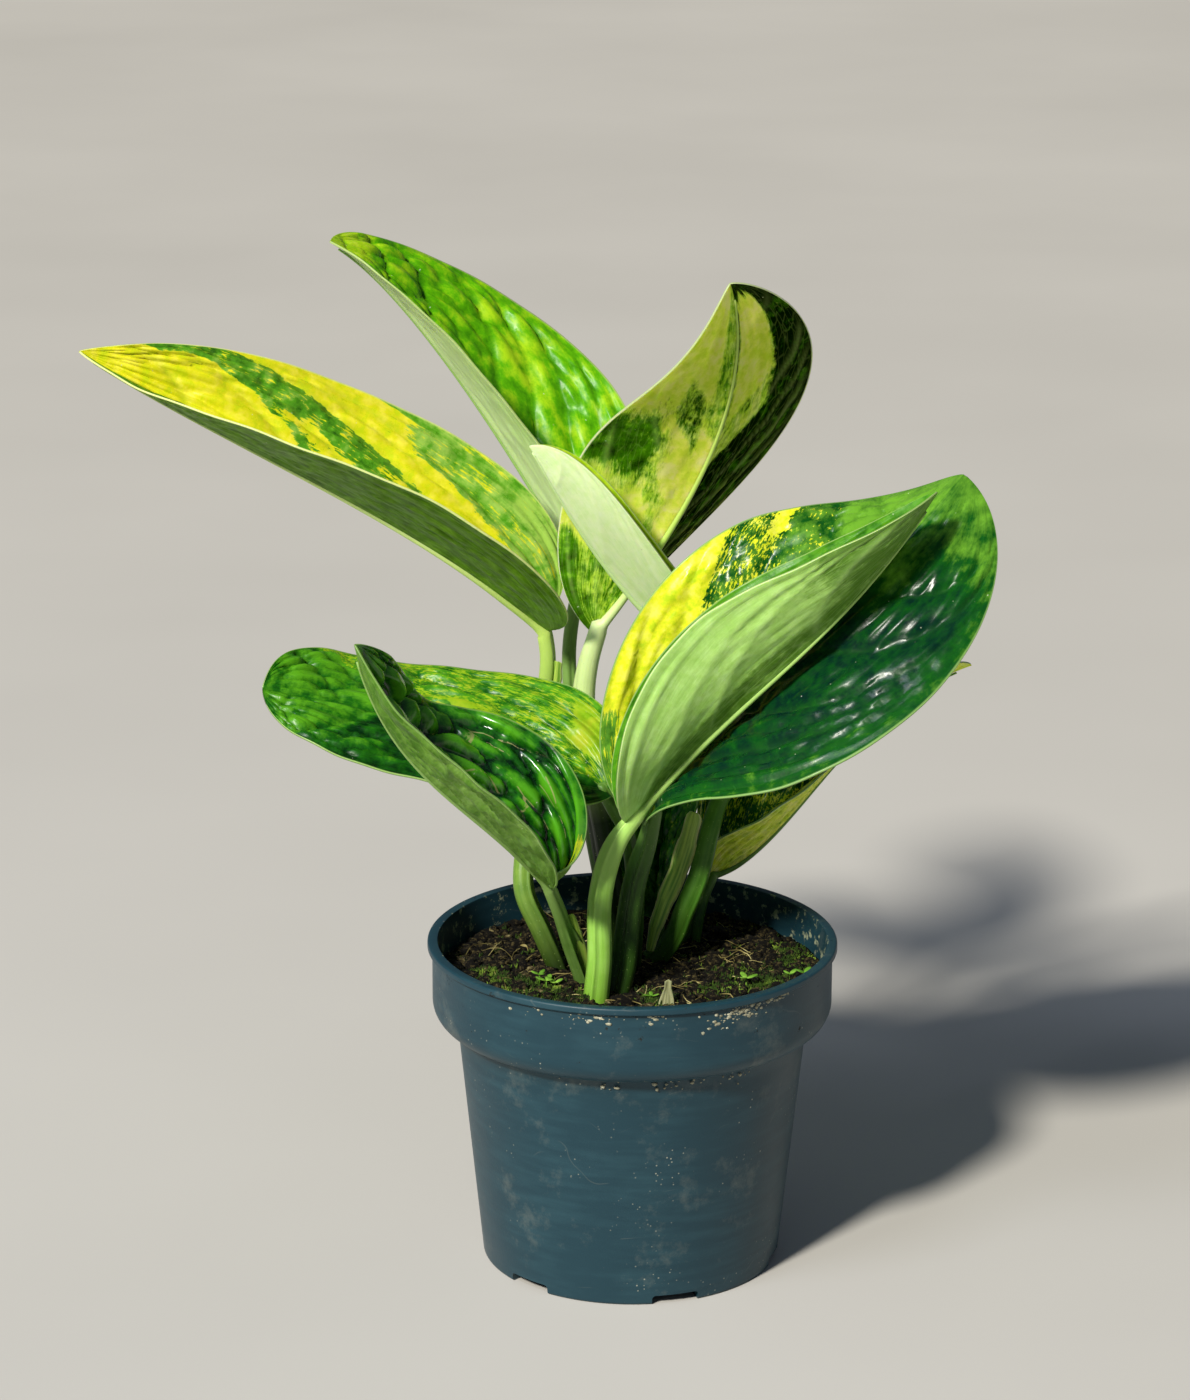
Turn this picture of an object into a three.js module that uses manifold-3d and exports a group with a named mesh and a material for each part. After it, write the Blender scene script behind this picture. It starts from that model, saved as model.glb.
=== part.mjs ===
// Potted marble planet monstera in a 12 cm nursery pot.
// Millimetres, +Z up, origin at the centre of the pot's base, the pot's front towards -Y.
// Each leaf is one grown piece: blade, midrib and petiole. It stands in its own plain hole in the potting mix.
import * as THREE from 'three';
import { mergeVertices } from 'three/addons/utils/BufferGeometryUtils.js';
import Module from 'manifold-3d';

// Nursery pot
const RIM_RADIUS = 60;
const POT_HEIGHT = 97.4;
const LIP_HEIGHT = 2.4;
const LIP_STAND_OUT = 1.4;
const COLLAR_HEIGHT = 24.5;
const COLLAR_BULLNOSE = 6.5;
const BODY_TOP_RADIUS = 51.4;
const BASE_RADIUS = 43.9;
const WALL = 1.6;
const FLOOR_THICKNESS = 1.8;
const BASE_BEVEL = 0.9;
const DRAIN_COUNT = 6;
const DRAIN_WIDTH = 14;
const DRAIN_HEIGHT = 2.8;
const DRAIN_REACH = 7;
const FIRST_DRAIN_ANGLE = THREE.MathUtils.degToRad(-73);
const POT_SIDES = 40;

// Potting mix
const SOIL_LEVEL = 87;
const SOIL_RELIEF = 0.9;
const FIT_GAP = 0.35;
const SOIL_RINGS = 7;

// Leaves
const BLADE_THICKNESS = 0.8;
const BLADE_STEPS = 18;
const HALF_STEPS = 5;
const BLADE_START = 0.012;
const BLADE_END = 0.992;
const STEM_SIDES = 8;
const STEM_STEPS = 11;
const RIB_STEPS = 7;
const RIB_END = 0.9;
const RIB_TIP_RADIUS = 0.55;
const LOBE_REACH = 0.18;

const COLOURS = {
  pot: 0x2f4a54,
  soil: 0x2b2118,
  yellowGreen: 0xb9c42a,
  brightGreen: 0x4f9a2a,
  paleGreen: 0x9dbb6d,
  darkGreen: 0x1f5a2c,
  straw: 0xb79a6a,
};

// Each leaf: the midrib's four Bezier points from base to tip, the roll of the blade about it in degrees
// at base, middle and tip, the half widths left and right, the fullness of the outline at base and tip,
// the angles at which each half folds up at base, middle and tip, how far each half cups between midrib
// and margin at base and tip, and how far the basal lobes reach back past the petiole's end.
// stem holds the petiole's centre points from the blade down into the mix, and stemRadii its radii.
const LEAVES = [
  {
    name: 'leaf_a_left_yellow', colour: COLOURS.yellowGreen,
    midrib: [[-26, 27, 183], [-60, 10, 221], [-124, 20, 243], [-159, 18, 268]],
    roll: [21, 16, 39], halfWidths: [36, 37], fullness: [0.4, 0.85],
    foldLeft: [50, 39, 39], foldRight: [40, 28, 51], cupLeft: [3, 9], cupRight: [4, 13], lobe: -1,
    stem: [[-25, 27, 174], [-27, 27, 156], [-31, 19, 133], [-32, 12, 120], [-32, 7, 109], [-27, 4, 98],
      [-22, 2, 87], [-19, 0, 80]],
    stemRadii: [2.4, 2.9],
  },
  {
    name: 'leaf_b_top_left', colour: COLOURS.brightGreen,
    midrib: [[-15, 52, 194], [-29, 64, 217], [-66, 62, 280], [-89, 54, 293]],
    roll: [47, 19, 2], halfWidths: [27.5, 38.5], fullness: [0.55, 0.75],
    foldLeft: [76, 40, 14], foldRight: [71, 20, 6], cupLeft: [9, 1], cupRight: [15, 2], lobe: 1,
    stem: [[-18, 50, 180], [-19, 48, 168], [-17, 42, 145], [-12, 34, 119], [-8, 28, 99], [-6, 27, 78]],
    stemRadii: [2, 2.6],
  },
  {
    name: 'leaf_c_top_right', colour: COLOURS.paleGreen,
    midrib: [[-10, 22, 186], [7, 23, 208], [37, 19, 251], [26, -10, 294]],
    roll: [10, 12, 12], halfWidths: [36.5, 34.5], fullness: [0.6, 0.7],
    foldLeft: [29, 18, -20], foldRight: [34, 25, -14], cupLeft: [7, -3], cupRight: [10, 0], lobe: 3,
    stem: [[-13, 23, 174], [-14, 23, 163], [-12, 21, 142], [-8, 18, 121], [-5, 16, 103], [-3, 15, 78]],
    stemRadii: [2.7, 3.4],
  },
  {
    name: 'leaf_d_large_right', colour: COLOURS.darkGreen,
    midrib: [[6, -8, 140], [26, 2, 177], [51, -36, 196], [93, -4, 238]],
    roll: [-31, -36, -29], halfWidths: [39, 45.5], fullness: [0.5, 0.5],
    foldLeft: [54, 27, -21], foldRight: [38, 6, -36], cupLeft: [21, 0], cupRight: [13, -8], lobe: 6,
    stem: [[4, -9, 129], [1, -11, 118], [-1, -13, 105], [-2, -16, 95], [-4, -19, 86], [-5, -20, 79]],
    stemRadii: [2.6, 3.3],
  },
  {
    name: 'leaf_e_pale_right', colour: COLOURS.paleGreen,
    midrib: [[1, -20, 142], [28, -23, 179], [55, -42, 197], [84, -24, 238]],
    roll: [-19, 7, -1], halfWidths: [28.5, 33], fullness: [0.6, 0.8],
    foldLeft: [69, 61, 42], foldRight: [50, 55, 21], cupLeft: [5, 2], cupRight: [2, 2], lobe: 4,
    stem: [[-4, -22, 135], [-7, -23, 127], [-9, -24, 116], [-9, -25, 99], [-10, -26, 87], [-10, -26, 79]],
    stemRadii: [2.5, 3.2],
  },
  {
    name: 'leaf_f_blunt_left', colour: COLOURS.darkGreen,
    midrib: [[-9, -5, 145], [-31, 5, 158], [-91, 2, 169], [-107, 0, 173]],
    roll: [33, 7, 25], halfWidths: [28, 30], fullness: [0.5, 0.6],
    foldLeft: [15, -12, 4], foldRight: [47, 6, 22], cupLeft: [2, 0], cupRight: [8, 5], lobe: 4,
    stem: [[-6, -5, 139], [-2, -3, 131], [0, -1, 119], [0, 0, 103], [-1, 0, 87], [-1, 0, 79]],
    stemRadii: [2, 2.8],
  },
  {
    name: 'leaf_g_pale_middle', colour: COLOURS.paleGreen,
    midrib: [[32, 22, 166], [-7, 16, 194], [-21, 0, 231], [-30, 0, 245]],
    roll: [11, 27, -5], halfWidths: [18, 16], fullness: [0.6, 0.7],
    foldLeft: [54, 66, 48], foldRight: [60, 80, 45], cupLeft: [6, 14], cupRight: [11, 16], lobe: 3,
    stem: [[33, 20, 152], [29, 16, 141], [25, 13, 134], [22, 10, 125], [19, 8, 113], [15, 7, 103],
      [13, 7, 94], [9, 8, 87], [5, 8, 84], [3, 8, 78]],
    stemRadii: [2.6, 3.1],
  },
  {
    name: 'leaf_h_front_left', colour: COLOURS.darkGreen,
    midrib: [[-24, -30, 123], [-42, -59, 158], [-67, -62, 163], [-76, -76, 208]],
    roll: [83, 35, 51], halfWidths: [24.5, 33.5], fullness: [0.5, 0.75],
    foldLeft: [63, 38, 33], foldRight: [63, 8, 36], cupLeft: [4, 3], cupRight: [13, 10], lobe: -7,
    stem: [[-21, -24, 113], [-18, -18, 101], [-15, -14, 91], [-12, -12, 80]],
    stemRadii: [2, 2.6],
  },
  {
    name: 'leaf_i_low_right', colour: COLOURS.paleGreen,
    midrib: [[24, 32, 106], [50, 38, 114], [61, 44, 154], [102, 58, 164]],
    roll: [-1, -22, 13], halfWidths: [32, 32], fullness: [0.5, 0.75],
    foldLeft: [19, 19, 10], foldRight: [59, 48, 27], cupLeft: [6, 6], cupRight: [3, 6], lobe: 2,
    stem: [[21, 28, 100], [19, 25, 92], [17, 24, 78]],
    stemRadii: [2, 2.4],
  },
  {
    name: 'leaf_j_small_shaded', colour: COLOURS.darkGreen,
    midrib: [[8, 24, 97], [7, 33, 115], [11, 35, 139], [24, 44, 160]],
    roll: [6, -7, 7], halfWidths: [20.5, 20], fullness: [0.55, 0.75],
    foldLeft: [40, 37, 20], foldRight: [43, 34, 24], cupLeft: [5, 6], cupRight: [6, 6], lobe: 2,
    stem: [[8, 23, 91], [8, 23, 78]],
    stemRadii: [1.6, 2],
  },
];

// Dry papery scale that stands in the mix behind the front rim
const SCALE_FOOT = new THREE.Vector3(9, -30, 82);
const SCALE_HEIGHT = 13;
const SCALE_WIDTH = 4.6;
const SCALE_THICKNESS = 0.9;

const wasm = await Module();
wasm.setup();

function solidFrom(geometry) {
  const bare = geometry.clone();
  bare.deleteAttribute('normal');
  bare.deleteAttribute('uv');
  const merged = mergeVertices(bare, 1e-4);
  return new wasm.Manifold(new wasm.Mesh({
    numProp: 3,
    vertProperties: new Float32Array(merged.attributes.position.array),
    triVerts: new Uint32Array(merged.index.array),
  }));
}

function geometryFrom(solid) {
  const mesh = solid.getMesh();
  const geometry = new THREE.BufferGeometry();
  geometry.setAttribute('position', new THREE.Float32BufferAttribute(mesh.vertProperties, 3));
  geometry.setIndex(new THREE.Uint32BufferAttribute(mesh.triVerts, 1));
  geometry.computeVertexNormals();
  return geometry;
}

// A closed body from rings of points of equal count: side walls between rings, and a fan on each end.
function loftRings(rings) {
  const count = rings[0].length;
  const positions = rings.flat().flatMap((point) => point.toArray());
  const index = [];
  for (let ring = 0; ring < rings.length - 1; ring += 1) {
    for (let side = 0; side < count; side += 1) {
      const next = (side + 1) % count;
      const a = ring * count + side;
      const b = ring * count + next;
      const c = (ring + 1) * count + next;
      const d = (ring + 1) * count + side;
      index.push(a, b, c, a, c, d);
    }
  }
  const last = (rings.length - 1) * count;
  for (let side = 1; side < count - 1; side += 1) {
    index.push(0, side + 1, side);
    index.push(last, last + side, last + side + 1);
  }
  const geometry = new THREE.BufferGeometry();
  geometry.setAttribute('position', new THREE.Float32BufferAttribute(positions, 3));
  geometry.setIndex(index);
  return geometry;
}

// A value that runs through three given ones at base, middle and tip.
function throughThree([base, middle, tip], t) {
  return base * (1 - t) * (1 - 2 * t) + 4 * middle * t * (1 - t) + tip * t * (2 * t - 1);
}

function outlineWidth(t, [base, tip]) {
  const widest = base / (base + tip);
  const peak = widest ** base * (1 - widest) ** tip;
  return (t ** base * (1 - t) ** tip) / peak;
}

const UP = new THREE.Vector3(0, 0, 1);
const AWAY = new THREE.Vector3(0, 1, 0);

// The midrib's place and the directions along, across to the right and up out of the blade.
function midribFrame(leaf, t) {
  const points = leaf.midrib.map((point) => new THREE.Vector3(...point));
  const curve = new THREE.CubicBezierCurve3(...points);
  const along = curve.getTangent(t);
  const chord = points[3].clone().sub(points[0]).normalize();
  const level = chord.cross(UP).normalize();
  level.addScaledVector(along, -along.dot(level)).normalize();
  const raised = new THREE.Vector3().crossVectors(level, along);
  const roll = THREE.MathUtils.degToRad(throughThree(leaf.roll, t));
  const across = level.clone().multiplyScalar(Math.cos(roll)).addScaledVector(raised, Math.sin(roll));
  const out = raised.clone().multiplyScalar(Math.cos(roll)).addScaledVector(level, -Math.sin(roll));
  return { place: curve.getPoint(t), along, across, out };
}

// A point of the blade: side is -1 left or 1 right, reach runs from 0 at the midrib to 1 at the margin.
function bladePoint(leaf, t, side, reach) {
  const { place, along, across, out } = midribFrame(leaf, t);
  const right = side > 0;
  const width = leaf.halfWidths[right ? 1 : 0] * outlineWidth(t, leaf.fullness);
  const fold = THREE.MathUtils.degToRad(throughThree(right ? leaf.foldRight : leaf.foldLeft, t));
  const [cupBase, cupTip] = right ? leaf.cupRight : leaf.cupLeft;
  const cup = THREE.MathUtils.degToRad(cupBase + (cupTip - cupBase) * t + 1e-3);
  const sideways = (Math.sin(fold + cup * reach) - Math.sin(fold)) / cup;
  const raised = (Math.cos(fold) - Math.cos(fold + cup * reach)) / cup;
  const back = leaf.lobe * Math.exp(-((t / LOBE_REACH) ** 2)) * reach ** 2;
  return place
    .addScaledVector(across, side * width * sideways)
    .addScaledVector(out, width * raised)
    .addScaledVector(along, -back);
}

// The blade as a thin closed sheet. Row after row of points runs from the left margin to the right one,
// and both faces are split into triangles alike.
function bladeGeometry(leaf) {
  const columns = 2 * HALF_STEPS + 1;
  const rings = [];
  for (let row = 0; row <= BLADE_STEPS; row += 1) {
    const ease = 0.5 - 0.5 * Math.cos((Math.PI * row) / BLADE_STEPS);
    const share = 0.35 * (row / BLADE_STEPS) + 0.65 * ease;
    const t = BLADE_START + (BLADE_END - BLADE_START) * share;
    const upper = [];
    const lower = [];
    for (let column = 0; column < columns; column += 1) {
      const signed = (column - HALF_STEPS) / HALF_STEPS;
      const side = signed < 0 ? -1 : 1;
      const reach = Math.abs(signed);
      const point = bladePoint(leaf, t, side, reach);
      const normal = sheetNormal(leaf, t, side, reach);
      upper.push(point.clone().addScaledVector(normal, BLADE_THICKNESS / 2));
      lower.push(point.clone().addScaledVector(normal, -BLADE_THICKNESS / 2));
    }
    rings.push([...upper, ...lower.reverse()]);
  }
  return closeSheet(rings, columns);
}

function sheetNormal(leaf, t, side, reach) {
  const { out } = midribFrame(leaf, t);
  if (reach === 0) return out;
  const step = 0.01;
  const before = Math.max(t - step, BLADE_START / 2);
  const after = Math.min(t + step, 1 - BLADE_START / 2);
  const along = bladePoint(leaf, after, side, reach).sub(bladePoint(leaf, before, side, reach));
  const across = bladePoint(leaf, t, side, reach).sub(bladePoint(leaf, t, side, reach - step));
  return across.cross(along).multiplyScalar(side).normalize();
}

// Walls between the sheet's rings, and its two narrow ends split like its rows.
function closeSheet(rings, columns) {
  const count = 2 * columns;
  const positions = rings.flat().flatMap((point) => point.toArray());
  const index = [];
  const quad = (a, b, c, d) => index.push(a, b, c, a, c, d);
  for (let ring = 0; ring < rings.length - 1; ring += 1) {
    const low = ring * count;
    const high = low + count;
    for (let column = 0; column < columns - 1; column += 1) {
      quad(low + column, low + column + 1, high + column + 1, high + column);
      const under = count - 1 - column;
      quad(high + under, high + under - 1, low + under - 1, low + under);
    }
    quad(low + columns - 1, low + columns, high + columns, high + columns - 1);
    quad(low + count - 1, low, high, high + count - 1);
  }
  const last = (rings.length - 1) * count;
  for (let column = 0; column < columns - 1; column += 1) {
    const under = count - 1 - column;
    quad(column, under, under - 1, column + 1);
    quad(last + column, last + column + 1, last + under - 1, last + under);
  }
  const geometry = new THREE.BufferGeometry();
  geometry.setAttribute('position', new THREE.Float32BufferAttribute(positions, 3));
  geometry.setIndex(index);
  return geometry;
}

// A round ring of a stem about a point, square to the stem's direction.
function stemRing(centre, along, radius) {
  const u = new THREE.Vector3().crossVectors(AWAY, along).normalize();
  const v = new THREE.Vector3().crossVectors(along, u).normalize();
  const ring = [];
  for (let side = 0; side < STEM_SIDES; side += 1) {
    const angle = (2 * Math.PI * side) / STEM_SIDES;
    ring.push(centre.clone()
      .addScaledVector(u, radius * Math.cos(angle))
      .addScaledVector(v, radius * Math.sin(angle)));
  }
  return ring;
}

// The petiole's centre line from its foot in the mix up to the blade's base.
function stemCurve(leaf) {
  const points = [...leaf.stem].reverse().map((point) => new THREE.Vector3(...point));
  points.push(new THREE.Vector3(...leaf.midrib[0]));
  return new THREE.CatmullRomCurve3(points, false, 'centripetal');
}

// The petiole and the midrib's rib under the blade, one tapered body. Widened by a gap it is the petiole's
// hole in the mix instead, and stops at the blade's base.
function stemGeometry(leaf, gap = 0) {
  const curve = stemCurve(leaf);
  const [topRadius, footRadius] = leaf.stemRadii;
  const rings = [];
  for (let step = 0; step <= STEM_STEPS; step += 1) {
    const share = step / STEM_STEPS;
    const along = curve.getTangentAt(share);
    const centre = curve.getPointAt(share);
    if (step === 0) centre.addScaledVector(along, -gap);
    rings.push(stemRing(centre, along, THREE.MathUtils.lerp(footRadius, topRadius, share) + gap));
  }
  if (gap === 0) {
    for (let step = 1; step <= RIB_STEPS; step += 1) {
      const share = step / RIB_STEPS;
      const { place, along, out } = midribFrame(leaf, share * RIB_END);
      const radius = THREE.MathUtils.lerp(topRadius * 0.75, RIB_TIP_RADIUS, share ** 0.7);
      rings.push(stemRing(place.addScaledVector(out, -radius * 0.5), along, radius));
    }
  }
  return loftRings(rings);
}

function leafMesh(leaf) {
  const blade = solidFrom(bladeGeometry(leaf));
  const stem = solidFrom(stemGeometry(leaf));
  return namedMesh(leaf.name, geometryFrom(blade.add(stem)), leaf.colour, 0.45);
}

function namedMesh(name, geometry, colour, roughness) {
  const material = new THREE.MeshStandardMaterial({ color: colour, roughness, metalness: 0 });
  const mesh = new THREE.Mesh(geometry, material);
  mesh.name = name;
  return mesh;
}

// The pot is turned in one piece, with drain slots cut through the corner of wall and floor.
function potMesh() {
  const collarFoot = POT_HEIGHT - COLLAR_HEIGHT;
  const collarRadius = RIM_RADIUS - LIP_STAND_OUT;
  const profile = new THREE.Path();
  profile.moveTo(0, 0);
  profile.lineTo(BASE_RADIUS - BASE_BEVEL, 0);
  profile.lineTo(BASE_RADIUS, BASE_BEVEL);
  profile.lineTo(BODY_TOP_RADIUS, collarFoot);
  profile.lineTo(collarRadius - COLLAR_BULLNOSE, collarFoot);
  profile.absellipse(
    collarRadius - COLLAR_BULLNOSE, collarFoot + COLLAR_BULLNOSE,
    COLLAR_BULLNOSE, COLLAR_BULLNOSE, -Math.PI / 2, 0, false, 0,
  );
  profile.lineTo(collarRadius, POT_HEIGHT - LIP_HEIGHT);
  profile.lineTo(RIM_RADIUS, POT_HEIGHT - LIP_HEIGHT + 0.5);
  profile.lineTo(RIM_RADIUS, POT_HEIGHT - 0.7);
  profile.lineTo(RIM_RADIUS - 0.7, POT_HEIGHT);
  profile.lineTo(collarRadius - WALL, POT_HEIGHT);
  profile.lineTo(collarRadius - WALL - 0.6, collarFoot + COLLAR_BULLNOSE);
  profile.lineTo(BODY_TOP_RADIUS - WALL, collarFoot + WALL);
  profile.lineTo(BASE_RADIUS - WALL, FLOOR_THICKNESS);
  profile.lineTo(0, FLOOR_THICKNESS);
  const outline = profile.getPoints(3);
  const turned = new THREE.LatheGeometry(outline, POT_SIDES).rotateX(Math.PI / 2);
  let pot = solidFrom(turned);
  for (let count = 0; count < DRAIN_COUNT; count += 1) {
    const angle = FIRST_DRAIN_ANGLE + (2 * Math.PI * count) / DRAIN_COUNT;
    const drain = new THREE.BoxGeometry(2 * DRAIN_REACH, DRAIN_WIDTH, 2 * DRAIN_HEIGHT);
    drain.translate(BASE_RADIUS, 0, 0).rotateZ(angle);
    pot = pot.subtract(solidFrom(drain));
  }
  return namedMesh('nursery_pot', geometryFrom(pot), COLOURS.pot, 0.45);
}

// Height of the mix above its level: low swells, and a slight dish towards the pot's wall.
function soilHeight(x, y) {
  const swell = Math.sin(x / 7 + 1.3) * Math.cos(y / 9) + 0.6 * Math.sin((x + 2 * y) / 11);
  return SOIL_LEVEL + SOIL_RELIEF * 0.5 * swell;
}

function soilMesh(holes) {
  const floor = FLOOR_THICKNESS + FIT_GAP;
  const collarFoot = POT_HEIGHT - COLLAR_HEIGHT;
  const collarInside = RIM_RADIUS - LIP_STAND_OUT - WALL - 0.6;
  const shoulder = collarFoot + COLLAR_BULLNOSE;
  const profile = [
    new THREE.Vector2(0, floor),
    new THREE.Vector2(BASE_RADIUS - WALL - FIT_GAP, floor),
    new THREE.Vector2(BODY_TOP_RADIUS - WALL - FIT_GAP, collarFoot + WALL + FIT_GAP / 2),
    new THREE.Vector2(collarInside - FIT_GAP, shoulder + FIT_GAP / 2),
  ];
  for (let ring = SOIL_RINGS; ring > 0; ring -= 1) {
    profile.push(new THREE.Vector2((collarInside - FIT_GAP) * (ring / SOIL_RINGS), SOIL_LEVEL));
  }
  profile.push(new THREE.Vector2(0, SOIL_LEVEL));
  const turned = new THREE.LatheGeometry(profile, POT_SIDES).rotateX(Math.PI / 2);
  const position = turned.attributes.position;
  for (let vertex = 0; vertex < position.count; vertex += 1) {
    if (position.getZ(vertex) > SOIL_LEVEL - 0.1) {
      position.setZ(vertex, soilHeight(position.getX(vertex), position.getY(vertex)));
    }
  }
  const body = holes.reduce((rest, hole) => rest.subtract(hole), solidFrom(turned));
  return namedMesh('potting_mix', geometryFrom(body), COLOURS.soil, 0.95);
}

// The scale is a narrow pointed sheet, slightly hollow towards the stems.
function scaleGeometry(gap = 0) {
  const rings = [];
  const steps = 5;
  for (let step = 0; step <= steps; step += 1) {
    const share = step / steps;
    const width = SCALE_WIDTH * (0.35 + 0.65 * Math.sin(Math.PI * Math.min(share + 0.12, 0.95))) + 2 * gap;
    const thickness = SCALE_THICKNESS + 2 * gap;
    const lift = step === 0 ? -gap : share * SCALE_HEIGHT;
    const centre = SCALE_FOOT.clone().add(new THREE.Vector3(1.2 * share, 0.8 * share ** 2, lift));
    const corner = (dx, dy) => centre.clone().add(new THREE.Vector3(dx * width, dy * thickness, 0));
    rings.push([corner(-0.5, -0.5), corner(0.5, -0.5), corner(0.5, 0.5), corner(-0.5, 0.5)]);
  }
  return loftRings(rings);
}

const plant = new THREE.Group();
const holes = LEAVES.map((leaf) => solidFrom(stemGeometry(leaf, FIT_GAP)));
holes.push(solidFrom(scaleGeometry(FIT_GAP)));
plant.add(potMesh());
plant.add(soilMesh(holes));
for (const leaf of LEAVES) plant.add(leafMesh(leaf));
plant.add(namedMesh('dry_scale', scaleGeometry(), COLOURS.straw, 0.8));

export default plant;
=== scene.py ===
"""Looks of the potted marble planet monstera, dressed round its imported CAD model.

Sizes are in millimetres and turned to metres where a mesh is made. The frame is the CAD's: +Z up,
the origin at the centre of the pot's base and the pot's front towards -Y.
"""

import logging
import math
import random
from collections.abc import Mapping, Sequence
from dataclasses import dataclass, replace
from enum import Enum

import bmesh
import bpy
import numpy as np
from mathutils import Matrix, Vector, noise


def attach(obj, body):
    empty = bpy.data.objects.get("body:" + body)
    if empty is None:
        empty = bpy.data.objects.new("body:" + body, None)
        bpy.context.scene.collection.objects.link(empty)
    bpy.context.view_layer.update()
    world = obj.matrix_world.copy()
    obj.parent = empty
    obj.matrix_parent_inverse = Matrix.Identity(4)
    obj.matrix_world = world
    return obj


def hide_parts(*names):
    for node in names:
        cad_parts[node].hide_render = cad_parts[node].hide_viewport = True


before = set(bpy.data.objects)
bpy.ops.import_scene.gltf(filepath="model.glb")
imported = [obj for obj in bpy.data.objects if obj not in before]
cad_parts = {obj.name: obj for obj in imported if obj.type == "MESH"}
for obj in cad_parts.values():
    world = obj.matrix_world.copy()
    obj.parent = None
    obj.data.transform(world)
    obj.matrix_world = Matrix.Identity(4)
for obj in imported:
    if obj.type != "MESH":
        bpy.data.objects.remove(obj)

LOG = logging.getLogger("monstera")
MM = 0.001
MERGE_DISTANCE = 1e-7
# A little over a full turn, so a draw from it can face any way
ANY_TURN = (0, 6.3)
Point = tuple[float, float, float]
Ends = tuple[float, float]
Three = tuple[float, float, float]


# Small helpers

def linear_rgb(code: str) -> tuple[float, float, float, float]:
    """Turns an sRGB hex colour to linear light.

    Args:
        code: Six hex digits, with or without a leading hash sign.

    Returns:
        Linear red, green and blue, and an alpha of 1.
    """
    digits = code.lstrip("#")
    values = [int(digits[at:at + 2], 16) / 255 for at in (0, 2, 4)]
    linear = [v / 12.92 if v <= 0.04045 else ((v + 0.055) / 1.055) ** 2.4 for v in values]
    return (linear[0], linear[1], linear[2], 1.0)


def unit(vectors: np.ndarray) -> np.ndarray:
    """Scales each vector of the last axis to length 1."""
    return vectors / np.maximum(np.linalg.norm(vectors, axis=-1, keepdims=True), 1e-12)


def through_three(values: Three, t: np.ndarray) -> np.ndarray:
    """Runs a smooth value through three given ones at base, middle and tip."""
    base, middle, tip = values
    return base * (1 - t) * (1 - 2 * t) + 4 * middle * t * (1 - t) + tip * t * (2 * t - 1)


def smooth_step(low: float, high: float, value: np.ndarray) -> np.ndarray:
    """Rises softly from 0 at low to 1 at high."""
    share = np.clip((value - low) / (high - low), 0, 1)
    return share * share * (3 - 2 * share)


def window(value: np.ndarray, ends: Ends, soft: float) -> np.ndarray:
    """Is 1 between two ends and falls softly to 0 outside them."""
    low, high = ends
    return smooth_step(low - soft, low + soft, value) * (1 - smooth_step(high - soft, high + soft, value))


def walked(points: np.ndarray) -> np.ndarray:
    """Gives the way walked along a line at each of its points."""
    return np.concatenate([[0], np.cumsum(np.linalg.norm(np.diff(points, axis=0), axis=-1))])


def soft_noise(points: np.ndarray, size: float, seed: float) -> np.ndarray:
    """Samples smooth noise of one cell size.

    Args:
        points: Points in millimetres, with three coordinates in the last axis.
        size: Size of a cell in millimetres.
        seed: Shift that gives each use its own pattern.

    Returns:
        Values from about -1 to 1, one for each point.
    """
    flat = points.reshape(-1, 3) / size
    shift = Vector((seed * 1.7, seed * 3.1, seed * 0.7))
    values = [noise.noise(Vector(p) + shift) for p in flat.tolist()]
    return np.array(values).reshape(points.shape[:-1])


def bubbles(points: np.ndarray, size: float, seed: float) -> np.ndarray:
    """Samples rounded domes packed side by side.

    Args:
        points: Points in millimetres, with three coordinates in the last axis.
        size: Size of a dome in millimetres.
        seed: Shift that gives each use its own pattern.

    Returns:
        Values from 0 in the creases to 1 on the domes, one for each point.
    """
    shift = Vector((seed * 2.3, seed * 1.1, seed * 0.9))
    near = np.array([noise.voronoi(Vector(p) + shift)[0][:2] for p in (points.reshape(-1, 3) / size).tolist()])
    inward = np.clip((near[:, 1] - near[:, 0]) / 0.55, 0, 1)
    return (1 - (1 - inward) ** 2).reshape(points.shape[:-1])


def mesh_object(
    name: str, made: bmesh.types.BMesh, materials: Sequence[bpy.types.Material]
) -> bpy.types.Object:
    """Turns a finished bmesh into a smooth-shaded object of the scene.

    Args:
        name: Name of the piece.
        made: The bmesh in metres, which is freed.
        materials: Materials in the order of the faces' material numbers.

    Returns:
        The new object, at the origin.
    """
    mesh = bpy.data.meshes.new(name)
    made.to_mesh(mesh)
    made.free()
    for material in materials:
        mesh.materials.append(material)
    mesh.shade_smooth()
    piece = bpy.data.objects.new(name, mesh)
    bpy.context.scene.collection.objects.link(piece)
    return piece


def with_modifiers_applied(piece: bpy.types.Object) -> bpy.types.Object:
    """Replaces a piece's mesh by the one that its modifiers give.

    Args:
        piece: The piece with its live modifiers.

    Returns:
        The same piece with none left.
    """
    graph = bpy.context.evaluated_depsgraph_get()
    mesh = bpy.data.meshes.new_from_object(piece.evaluated_get(graph))
    piece.modifiers.clear()
    piece.data = mesh
    return piece


def thickened(sheet: bpy.types.Object, thickness: float, materials: bool = False) -> bpy.types.Object:
    """Gives an open sheet its thickness, half to either side.

    Args:
        sheet: The sheet.
        thickness: Its thickness in millimetres.
        materials: Whether the underside has the second material and the rim the third.

    Returns:
        The same object, closed.
    """
    solid = sheet.modifiers.new("thickness", "SOLIDIFY")
    solid.thickness = thickness * MM
    solid.offset = 0.0
    if materials:
        solid.material_offset = 1
        solid.material_offset_rim = 2
    return with_modifiers_applied(sheet)


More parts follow.
